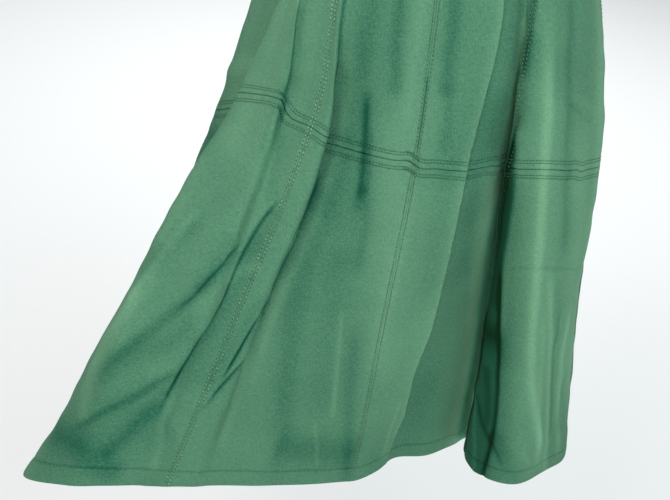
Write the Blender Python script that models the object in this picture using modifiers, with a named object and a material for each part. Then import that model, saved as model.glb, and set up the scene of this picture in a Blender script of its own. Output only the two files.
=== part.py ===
"""An a-line skirt that hangs open and hollow from its waist, with its hem swung forward to one side.

Eight gores run round the skirt in two tiers, joined at a horizontal seam above the knee. A
waistband closes the top, a concealed zip runs down the centre back seam, and the hem is turned up
inside. Units are metres, +Z is up, -Y is the front and +X is the viewer's right. The origin is the
centre of the waist opening, level with the waistband's top edge.

The cloth is one smooth surface. It is ruled by ribs: lines that run down the skirt along its
seams and along the tops and bottoms of its folds. Every panel is a flat grid laid on its own
stretch of that surface and thickened inwards.
"""
import math
from collections import namedtuple

import bmesh
import bpy
from mathutils import Vector

MM = 0.001

# Cloth.
WALL = 1.5 * MM              # the cloth and the seam allowances behind it
HEM_WALL = 3.0 * MM          # two layers, where the hem is turned up
SEAM_GAP = 0.3 * MM          # between two panels that are sewn together
CLOTH_COLOUR = (0.095, 0.250, 0.140)
CLOTH_ROUGHNESS = 0.85

# How far down the cloth each level lies, measured from the top of the waistband.
WAIST = 0.0
BAND_FOOT = 35 * MM          # the seam under the waistband
HIP = 150 * MM
TIER_SEAM = 300 * MM         # the horizontal seam between the two tiers
CALF = 485 * MM
HEM_TURN = 690 * MM          # the top of the turned-up hem
HEM_STEP = 1.5 * MM          # over which the wall doubles there
HEM = 710 * MM

# The waist is an ellipse, and the hip ring is level.
WAIST_HALF_WIDTH = 125 * MM
WAIST_HALF_DEPTH = 95 * MM
HIP_HEIGHT = -150 * MM

# Panels.
GORES = 8
FEWEST_COLUMNS = 2           # from one rib to the next
COLUMN_WIDTH = 26 * MM       # the widest that a column may be at the hem
COLUMN_TURN = math.radians(20)   # the most that the cloth may turn from one column to the next
UPPER_ROWS = 8
LOWER_ROWS = 12

# Waistband.
BAND_WALL = 3.0 * MM
BAND_PROUD = 0.8 * MM        # how far it stands out from the gores below
BAND_ROWS = 2
BAND_SLIT = 1.0 * MM         # between its two ends, at the centre back

# Zip in the centre back seam.
ZIP_SEAM = 6                 # counted in gores from the left side seam
ZIP_TOP = 38 * MM
ZIP_FOOT = 210 * MM
ZIP_TAPE_WIDTH = 24 * MM
ZIP_TAPE_WALL = 1.2 * MM
ZIP_TAPE_BEHIND = 0.4 * MM   # from the inner face of the gores
ZIP_TAPE_ROWS = 5
ZIP_COLOUR = (0.060, 0.165, 0.092)
SLIDER_LENGTH = 16 * MM      # with its drop-shaped handle, which lies flat below it
SLIDER_WIDTH = 5 * MM
SLIDER_NARROW = 0.55         # its width at the top as a share of that at the foot
SLIDER_THICK = 2.0 * MM
SLIDER_EDGE = 0.6 * MM
SLIDER_DOWN = 44 * MM        # how far down the seam its middle lies
SLIDER_PROUD = 0.5 * MM      # from the outer face of the gores
SLIDER_COLOUR = (0.16, 0.30, 0.20)

# One row for each rib, in the order that they stand round the skirt: across the front from the
# viewer's left to right, then along the back to the left again. All numbers but cut are
# millimetres.
#   cut    where the rib lies on the cut-out cloth, counted in gores from the left side seam
#   hip    its place in plan, x and y, on the hip ring
#   tier   its place, x, y and z, on the seam between the tiers
#   belly  how far it bows from a straight line in plan, x and y, at the calf
#   hem    its place, x, y and z, at the hem's edge
Rib = namedtuple("Rib", "name cut hip tier belly hem")
RIBS = (
    Rib("left_side_seam", 0.00, (-150, -42), (-177, -52, -286), (0, 0), (-360, -190, -680)),
    Rib("lobe", 0.28, (-149, -58), (-184, -74, -272), (-2, -2), (-378, -262, -655)),
    Rib("lap_edge", 0.50, (-146, -72), (-187, -95, -257), (-20, -15), (-318, -308, -620)),
    Rib("left_panel", 0.65, (-140, -80), (-160, -120, -249), (-12, -17), (-280, -305, -618)),
    Rib("crease_top", 0.80, (-132, -92), (-141, -139, -246), (4, -24), (-252, -295, -622)),
    Rib("crease_foot", 0.86, (-125, -94), (-131, -137, -256), (4, -20), (-238, -287, -629)),
    Rib("left_front_seam", 1.00, (-95, -110), (-106, -154, -262), (0, -16), (-222, -277, -637)),
    Rib("strip_edge", 1.12, (-90, -116), (-92, -165, -266), (0, -16), (-198, -268, -642)),
    Rib("strip_under", 1.18, (-85, -116), (-84, -158, -271), (-3, -12), (-190, -264, -644)),
    Rib("strip_inside", 1.24, (-81, -115), (-95, -146, -279), (-11, -12), (-178, -257, -647)),
    Rib("strip_foot", 1.36, (-72, -119), (-80, -151, -281), (-18, -12), (-150, -242, -656)),
    Rib("front_panel", 1.65, (-43, -126), (-49, -158, -284), (0, 0), (-87, -213, -673)),
    Rib("centre_front_seam", 2.00, (2, -131), (0, -163, -287), (0, 0), (-23, -177, -690)),
    Rib("recess_brow", 2.20, (39, -128), (32, -163, -289), (0, 0), (5, -155, -690)),
    Rib("recess_edge", 2.40, (68, -119), (57, -155, -291), (3, -2), (27, -135, -687)),
    Rib("recess", 2.60, (82, -110), (78, -140, -292), (3, 5), (66, -115, -692)),
    Rib("deep_fold", 2.82, (92, -98), (102, -102, -298), (5, 8), (120, -66, -697)),
    Rib("right_front_seam", 3.00, (98, -106), (94, -131, -294), (0, 0), (113, -110, -690)),
    Rib("flute_left", 3.12, (106, -110), (105, -148, -287), (-4, 2), (127, -136, -693)),
    Rib("flute_top", 3.35, (125, -104), (130, -155, -281), (0, -5), (168, -165, -681)),
    Rib("flute_right", 3.60, (156, -70), (166, -130, -290), (-3, -10), (208, -130, -684)),
    Rib("right_turn", 3.85, (178, -28), (200, -86, -302), (-9, -12), (241, -84, -700)),
    Rib("right_side_seam", 4.00, (183, -2), (205, -60, -306), (-9, -6), (252, -38, -704)),
    Rib("right_crest", 4.30, (177, 32), (209, -12, -308), (0, 0), (259, 12, -706)),
    Rib("right_hollow", 4.60, (158, 66), (200, 38, -308), (0, 0), (235, 64, -706)),
    Rib("right_back_crest", 4.85, (131, 90), (178, 74, -306), (0, 0), (226, 110, -706)),
    Rib("right_back_seam", 5.00, (112, 100), (156, 93, -305), (0, 0), (178, 136, -706)),
    Rib("back_hollow_right", 5.40, (60, 113), (84, 115, -304), (0, 0), (98, 122, -705)),
    Rib("back_crest", 5.75, (12, 119), (20, 133, -303), (0, 0), (22, 164, -704)),
    Rib("centre_back_seam", 6.00, (-18, 119), (-16, 134, -303), (0, 0), (-58, 152, -704)),
    Rib("back_hollow_left", 6.35, (-64, 110), (-84, 116, -304), (0, 0), (-130, 122, -702)),
    Rib("left_back_crest", 6.70, (-108, 94), (-144, 101, -305), (0, 0), (-206, 126, -701)),
    Rib("left_back_seam", 7.00, (-140, 74), (-179, 76, -306), (0, 0), (-258, 76, -700)),
    Rib("left_hollow", 7.30, (-166, 46), (-208, 36, -308), (0, 0), (-282, 10, -697)),
    Rib("left_crest", 7.55, (-179, 22), (-223, 6, -311), (6, 6), (-334, -48, -692)),
    Rib("left_turn", 7.75, (-180, 2), (-224, -14, -311), (10, 10), (-352, -112, -686)),
)
SEAM_RIBS = [place for place, rib in enumerate(RIBS) if rib.cut == int(rib.cut)]


def spline(before, start, end, after, knots, at):
    """A point between start and end on the curve through all four, whose knots say where each lies."""
    k0, k1, k2, k3 = knots
    slope_in = (end - before) / (k2 - k0)
    slope_out = (after - start) / (k3 - k1)
    span = k2 - k1
    t = (at - k1) / span
    return (
        start * (2 * t**3 - 3 * t**2 + 1)
        + slope_in * span * (t**3 - 2 * t**2 + t)
        + end * (3 * t**2 - 2 * t**3)
        + slope_out * span * (t**3 - t**2)
    )


def rib_stations(rib):
    """The rib's points at the waist, hip, tier seam, calf and hem, with the levels they lie at."""
    turn = math.radians(180 + 45 * rib.cut)
    waist = Vector((WAIST_HALF_WIDTH * math.cos(turn), WAIST_HALF_DEPTH * math.sin(turn), 0))
    hip = Vector((rib.hip[0] * MM, rib.hip[1] * MM, HIP_HEIGHT))
    tier = Vector(rib.tier) * MM
    hem = Vector(rib.hem) * MM
    calf = tier.lerp(hem, (CALF - TIER_SEAM) / (HEM - TIER_SEAM))
    calf += Vector((rib.belly[0], rib.belly[1], 0)) * MM
    return (WAIST, HIP, TIER_SEAM, CALF, HEM), (waist, hip, tier, calf, hem)


STATIONS = [rib_stations(rib) for rib in RIBS]


def rib_point(place, level):
    """The point of a rib at a level, on the smooth line through its stations."""
    levels, points = STATIONS[place % len(RIBS)]
    span = 0
    while span < len(levels) - 2 and level > levels[span + 1]:
        span += 1
    first, last = span == 0, span == len(levels) - 2
    before = points[span - 1] if not first else 2 * points[0] - points[1]
    after = points[span + 2] if not last else 2 * points[-1] - points[-2]
    before_level = levels[span - 1] if not first else 2 * levels[0] - levels[1]
    after_level = levels[span + 2] if not last else 2 * levels[-1] - levels[-2]
    knots = (before_level, levels[span], levels[span + 1], after_level)
    return spline(before, points[span], points[span + 1], after, knots, level)


def cloth_point(ring, level):
    """The cloth's outer face at a level. ring counts ribs, so 2.5 is halfway from rib 2 to rib 3."""
    place = math.floor(ring)
    points = [rib_point(place + step, level) for step in (-1, 0, 1, 2)]
    knots = [0.0]
    for one, two in zip(points, points[1:]):
        knots.append(knots[-1] + math.sqrt((two - one).length))
    return spline(*points, knots, knots[1] + (ring - place) * (knots[2] - knots[1]))


def cloth_frame(ring, level):
    """The cloth's point, its direction round the ring, its direction down and its outward normal."""
    step = 0.01
    drop = 1 * MM
    point = cloth_point(ring, level)
    along = (cloth_point(ring + step, level) - cloth_point(ring - step, level)).normalized()
    down = (cloth_point(ring, level + drop) - cloth_point(ring, level - drop)).normalized()
    return point, along, down, down.cross(along).normalized()


def make_material(name, colour, roughness, metallic=0.0):
    """A Principled material of one colour."""
    material = bpy.data.materials.new(name)
    material.use_nodes = True
    shader = material.node_tree.nodes["Principled BSDF"]
    shader.inputs["Base Color"].default_value = (*colour, 1)
    shader.inputs["Roughness"].default_value = roughness
    shader.inputs["Metallic"].default_value = metallic
    return material


def add_object(name, mesh_builder, material, collection):
    """An object whose mesh is what the bmesh holds, shaded smooth."""
    mesh = bpy.data.meshes.new(name)
    mesh_builder.to_mesh(mesh)
    mesh_builder.free()
    mesh.shade_smooth()
    mesh.materials.append(material)
    piece = bpy.data.objects.new(name, mesh)
    collection.objects.link(piece)
    return piece


def add_sheet(name, rings, levels, place, material, collection):
    """A sheet with a wall: a flat grid, extruded, whose points go to place(ring, level, depth).

    depth is 0 on the outer face and 1 on the inner one.
    """
    columns = len(rings) - 1
    rows = len(levels) - 1
    grid = bmesh.new()
    bmesh.ops.create_grid(grid, x_segments=columns, y_segments=rows, size=0.5)
    copied = bmesh.ops.extrude_face_region(grid, geom=grid.faces[:], use_keep_orig=True)
    inner = [part for part in copied["geom"] if isinstance(part, bmesh.types.BMVert)]
    bmesh.ops.translate(grid, verts=inner, vec=(0, 0, -1))
    bmesh.ops.recalc_face_normals(grid, faces=grid.faces)
    for vertex in grid.verts:
        column = round((vertex.co.x + 0.5) * columns)
        row = round((0.5 - vertex.co.y) * rows)
        vertex.co = place(rings[column], levels[row], -round(vertex.co.z))
    return add_object(name, grid, material, collection)


def ring_columns(start, end):
    """The ring places of a panel's columns from one rib to another.

    There are more of them where the ribs are far apart and where the cloth turns.
    """
    rings = []
    for place in range(start, end):
        gap = (rib_point(place + 1, HEM) - rib_point(place, HEM)).length
        turn = 0.0
        for level in (HIP, TIER_SEAM, CALF, HEM):
            directions = [cloth_frame(place + part, level)[1] for part in (0, 0.5, 1)]
            turn = max(turn, directions[0].angle(directions[1]) + directions[1].angle(directions[2]))
        columns = max(FEWEST_COLUMNS, math.ceil(gap / COLUMN_WIDTH), math.ceil(turn / COLUMN_TURN))
        rings += [place + column / columns for column in range(columns)]
    return rings + [end]


def spread(start, end, rows):
    """Levels from start to end, evenly."""
    return [start + (end - start) * row / rows for row in range(rows + 1)]


def sheet_place(rings, levels, side_gap, foot_gap, wall_at, proud=0.0):
    """A function that puts a sheet's point on the cloth, held back from the seams at its edges.

    side_gap and foot_gap are left at the sides and at the top and foot. wall_at(level) is the wall.
    """

    def place(ring, level, depth):
        point, along, down, normal = cloth_frame(ring, level)
        point += normal * (proud - depth * wall_at(level))
        if ring == rings[0]:
            point += along * side_gap
        if ring == rings[-1]:
            point -= along * side_gap
        if level == levels[0] and level != WAIST:
            point += down * foot_gap
        if level == levels[-1] and level != HEM:
            point -= down * foot_gap
        return point

    return place


def gore_wall(level):
    """The cloth's wall at a level: it is doubled where the hem is turned up."""
    return HEM_WALL if level >= HEM_TURN else WALL


def make_gore(gore, material, collection):
    """One gore in its two tiers. The lower one has its hem turned up inside."""
    end = SEAM_RIBS[gore + 1] if gore + 1 < GORES else len(RIBS)
    rings = ring_columns(SEAM_RIBS[gore], end)
    upper = spread(BAND_FOOT, TIER_SEAM, UPPER_ROWS)
    lower = spread(TIER_SEAM, HEM_TURN - HEM_STEP, LOWER_ROWS) + [HEM_TURN, HEM]
    for tier, levels in (("upper", upper), ("lower", lower)):
        place = sheet_place(rings, levels, SEAM_GAP / 2, SEAM_GAP / 2, gore_wall)
        add_sheet(f"{tier}_gore_{gore + 1}", rings, levels, place, material, collection)


def make_waistband(material, collection):
    """A band round the waist, double thick, that stands a little proud and meets over the zip."""
    start = SEAM_RIBS[ZIP_SEAM]
    rings = ring_columns(start, start + len(RIBS))
    levels = spread(WAIST, BAND_FOOT, BAND_ROWS)
    place = sheet_place(rings, levels, BAND_SLIT / 2, SEAM_GAP / 2, lambda level: BAND_WALL, BAND_PROUD)
    add_sheet("waistband", rings, levels, place, material, collection)


def ring_across(start_ring, level, distance):
    """The ring place that lies a distance along the cloth from another, at one level."""
    near, far = start_ring, start_ring + math.copysign(1, distance)
    for _ in range(30):
        middle = (near + far) / 2
        reach = (cloth_point(middle, level) - cloth_point(start_ring, level)).length
        near, far = (middle, far) if reach < abs(distance) else (near, middle)
    return near


def make_zip(tape_material, slider_material, collection):
    """The zip's tape behind the centre back seam, and its closed slider in front at the top."""
    seam = SEAM_RIBS[ZIP_SEAM]
    shares = [-1.0, -0.5, 0.0, 0.5, 1.0]
    levels = spread(ZIP_TOP, ZIP_FOOT, ZIP_TAPE_ROWS)

    def place(share, level, depth):
        ring = ring_across(seam, level, share * ZIP_TAPE_WIDTH / 2) if share else seam
        point, _, _, normal = cloth_frame(ring, level)
        return point - normal * (WALL + ZIP_TAPE_BEHIND + depth * ZIP_TAPE_WALL)

    add_sheet("zip_tape", shares, levels, place, tape_material, collection)

    point, along, down, normal = cloth_frame(seam, SLIDER_DOWN)
    drop = bmesh.new()
    bmesh.ops.create_cube(drop, size=1)
    for vertex in drop.verts:
        across, out, up = vertex.co
        width = SLIDER_WIDTH * (SLIDER_NARROW if up > 0 else 1)
        vertex.co = (
            point
            - along * across * width
            + normal * (SLIDER_PROUD + SLIDER_THICK * (0.5 + out))
            - down * up * SLIDER_LENGTH
        )
    slider = add_object("zip_slider", drop, slider_material, collection)
    rounding = slider.modifiers.new("rounding", "BEVEL")
    rounding.width = SLIDER_EDGE
    rounding.segments = 2


def main():
    for thing in list(bpy.data.objects):
        bpy.data.objects.remove(thing)
    collection = bpy.data.collections.new("a_line_skirt")
    bpy.context.scene.collection.children.link(collection)
    cloth = make_material("cloth", CLOTH_COLOUR, CLOTH_ROUGHNESS)
    tape = make_material("zip_tape", ZIP_COLOUR, 0.8)
    enamel = make_material("zip_slider", SLIDER_COLOUR, 0.4, 0.6)
    for gore in range(GORES):
        make_gore(gore, cloth, collection)
    make_waistband(cloth, collection)
    make_zip(tape, enamel, collection)


main()
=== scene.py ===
"""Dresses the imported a-line skirt: creased twill panels, topstitched seams, turned-up hem and zip.

Every panel is a fine sheet on the same smooth form as its solid. The form is ruled by ribs, which
run down the skirt along its seams and its folds. A place on it is a ring, counted in ribs round the
skirt, and a level, measured down the cloth from the waistband's top edge. Lengths are metres unless
a table says millimetres; -Y is the front and +X the viewer's right.
"""
import logging
import math
from dataclasses import dataclass, field
from enum import Enum
from typing import Any, NamedTuple, Sequence

import bpy
import numpy as np
from mathutils import Matrix, Vector


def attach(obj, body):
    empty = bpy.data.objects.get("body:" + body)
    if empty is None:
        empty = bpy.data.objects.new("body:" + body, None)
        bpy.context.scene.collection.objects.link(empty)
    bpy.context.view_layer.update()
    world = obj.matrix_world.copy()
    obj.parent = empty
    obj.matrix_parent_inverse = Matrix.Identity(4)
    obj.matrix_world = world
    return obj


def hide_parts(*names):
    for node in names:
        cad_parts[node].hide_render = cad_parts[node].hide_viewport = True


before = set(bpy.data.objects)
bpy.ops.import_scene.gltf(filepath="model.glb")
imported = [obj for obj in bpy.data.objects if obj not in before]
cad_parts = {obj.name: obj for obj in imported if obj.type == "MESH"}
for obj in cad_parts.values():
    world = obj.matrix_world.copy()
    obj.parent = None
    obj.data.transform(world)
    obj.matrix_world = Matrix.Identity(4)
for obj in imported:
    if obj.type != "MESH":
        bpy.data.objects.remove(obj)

LOG = logging.getLogger("a_line_skirt")
MM = 0.001
BODY = "root"

BAND_FOOT = 35 * MM
TIER_SEAM = 300 * MM
HEM_TURN = 690 * MM
HEM = 710 * MM
GORES = 8


class Rib(NamedTuple):
    """One line down the cloth. All but cut are millimetres.

    cut is counted in gores from the left side seam. hip is x and y on the hip ring, tier is x, y
    and z on the seam between the tiers, belly is how far it bows in plan at the calf, and hem is
    x, y and z at the hem's edge.
    """

    name: str
    cut: float
    hip: tuple[float, float]
    tier: tuple[float, float, float]
    belly: tuple[float, float]
    hem: tuple[float, float, float]


RIBS = (
    Rib("left_side_seam", 0.00, (-150, -42), (-177, -52, -286), (0, 0), (-360, -190, -680)),
    Rib("lobe", 0.28, (-149, -58), (-184, -74, -272), (-2, -2), (-378, -262, -655)),
    Rib("lap_edge", 0.50, (-146, -72), (-187, -95, -257), (-20, -15), (-318, -308, -620)),
    Rib("left_panel", 0.65, (-140, -80), (-160, -120, -249), (-12, -17), (-280, -305, -618)),
    Rib("crease_top", 0.80, (-132, -92), (-141, -139, -246), (4, -24), (-252, -295, -622)),
    Rib("crease_foot", 0.86, (-125, -94), (-131, -137, -256), (4, -20), (-238, -287, -629)),
    Rib("left_front_seam", 1.00, (-95, -110), (-106, -154, -262), (0, -16), (-222, -277, -637)),
    Rib("strip_edge", 1.12, (-90, -116), (-92, -165, -266), (0, -16), (-198, -268, -642)),
    Rib("strip_under", 1.18, (-85, -116), (-84, -158, -271), (-3, -12), (-190, -264, -644)),
    Rib("strip_inside", 1.24, (-81, -115), (-95, -146, -279), (-11, -12), (-178, -257, -647)),
    Rib("strip_foot", 1.36, (-72, -119), (-80, -151, -281), (-18, -12), (-150, -242, -656)),
    Rib("front_panel", 1.65, (-43, -126), (-49, -158, -284), (0, 0), (-87, -213, -673)),
    Rib("centre_front_seam", 2.00, (2, -131), (0, -163, -287), (0, 0), (-23, -177, -690)),
    Rib("recess_brow", 2.20, (39, -128), (32, -163, -289), (0, 0), (5, -155, -690)),
    Rib("recess_edge", 2.40, (68, -119), (57, -155, -291), (3, -2), (27, -135, -687)),
    Rib("recess", 2.60, (82, -110), (78, -140, -292), (3, 5), (66, -115, -692)),
    Rib("deep_fold", 2.82, (92, -98), (102, -102, -298), (5, 8), (120, -66, -697)),
    Rib("right_front_seam", 3.00, (98, -106), (94, -131, -294), (0, 0), (113, -110, -690)),
    Rib("flute_left", 3.12, (106, -110), (105, -148, -287), (-4, 2), (127, -136, -693)),
    Rib("flute_top", 3.35, (125, -104), (130, -155, -281), (0, -5), (168, -165, -681)),
    Rib("flute_right", 3.60, (156, -70), (166, -130, -290), (-3, -10), (208, -130, -684)),
    Rib("right_turn", 3.85, (178, -28), (200, -86, -302), (-9, -12), (241, -84, -700)),
    Rib("right_side_seam", 4.00, (183, -2), (205, -60, -306), (-9, -6), (252, -38, -704)),
    Rib("right_crest", 4.30, (177, 32), (209, -12, -308), (0, 0), (259, 12, -706)),
    Rib("right_hollow", 4.60, (158, 66), (200, 38, -308), (0, 0), (235, 64, -706)),
    Rib("right_back_crest", 4.85, (131, 90), (178, 74, -306), (0, 0), (226, 110, -706)),
    Rib("right_back_seam", 5.00, (112, 100), (156, 93, -305), (0, 0), (178, 136, -706)),
    Rib("back_hollow_right", 5.40, (60, 113), (84, 115, -304), (0, 0), (98, 122, -705)),
    Rib("back_crest", 5.75, (12, 119), (20, 133, -303), (0, 0), (22, 164, -704)),
    Rib("centre_back_seam", 6.00, (-18, 119), (-16, 134, -303), (0, 0), (-58, 152, -704)),
    Rib("back_hollow_left", 6.35, (-64, 110), (-84, 116, -304), (0, 0), (-130, 122, -702)),
    Rib("left_back_crest", 6.70, (-108, 94), (-144, 101, -305), (0, 0), (-206, 126, -701)),
    Rib("left_back_seam", 7.00, (-140, 74), (-179, 76, -306), (0, 0), (-258, 76, -700)),
    Rib("left_hollow", 7.30, (-166, 46), (-208, 36, -308), (0, 0), (-282, 10, -697)),
    Rib("left_crest", 7.55, (-179, 22), (-223, 6, -311), (6, 6), (-334, -48, -692)),
    Rib("left_turn", 7.75, (-180, 2), (-224, -14, -311), (10, 10), (-352, -112, -686)),
)
SEAM_RIBS = [place for place, rib in enumerate(RIBS) if rib.cut == int(rib.cut)]
SEAM_NAMES = [RIBS[place].name for place in SEAM_RIBS]
BACK_SEAM = SEAM_NAMES.index("centre_back_seam")


class CreaseKind(Enum):
    """What a crease does to the cloth.

    A hollow is a trough with a level floor, whose painted shade lies evenly over that floor. A step has a raised lip
    and drops away on one side, with its painted shade or highlight just past the lip.
    """

    TROUGH = "trough"
    HOLLOW = "hollow"
    RIDGE = "ridge"
    STEP_RIGHT = "step_right"
    STEP_LEFT = "step_left"


class Crease(NamedTuple):
    """One crease pressed or hanging in the cloth.

    height and width are millimetres. path is a row of (ring, level) places, levels in millimetres.
    The number after its path is painted shade, below zero, or painted highlight, above zero, laid
    into the cloth's colour along it, on top of the shade and highlight that its height paints.
    rings is how many rings past its path it may act on, which keeps it to one face of a fold.
    """

    name: str
    kind: CreaseKind
    height: float
    width: float
    path: tuple[tuple[float, float], ...]
    tone: float = 0.0
    rings: float = 2.2


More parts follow.
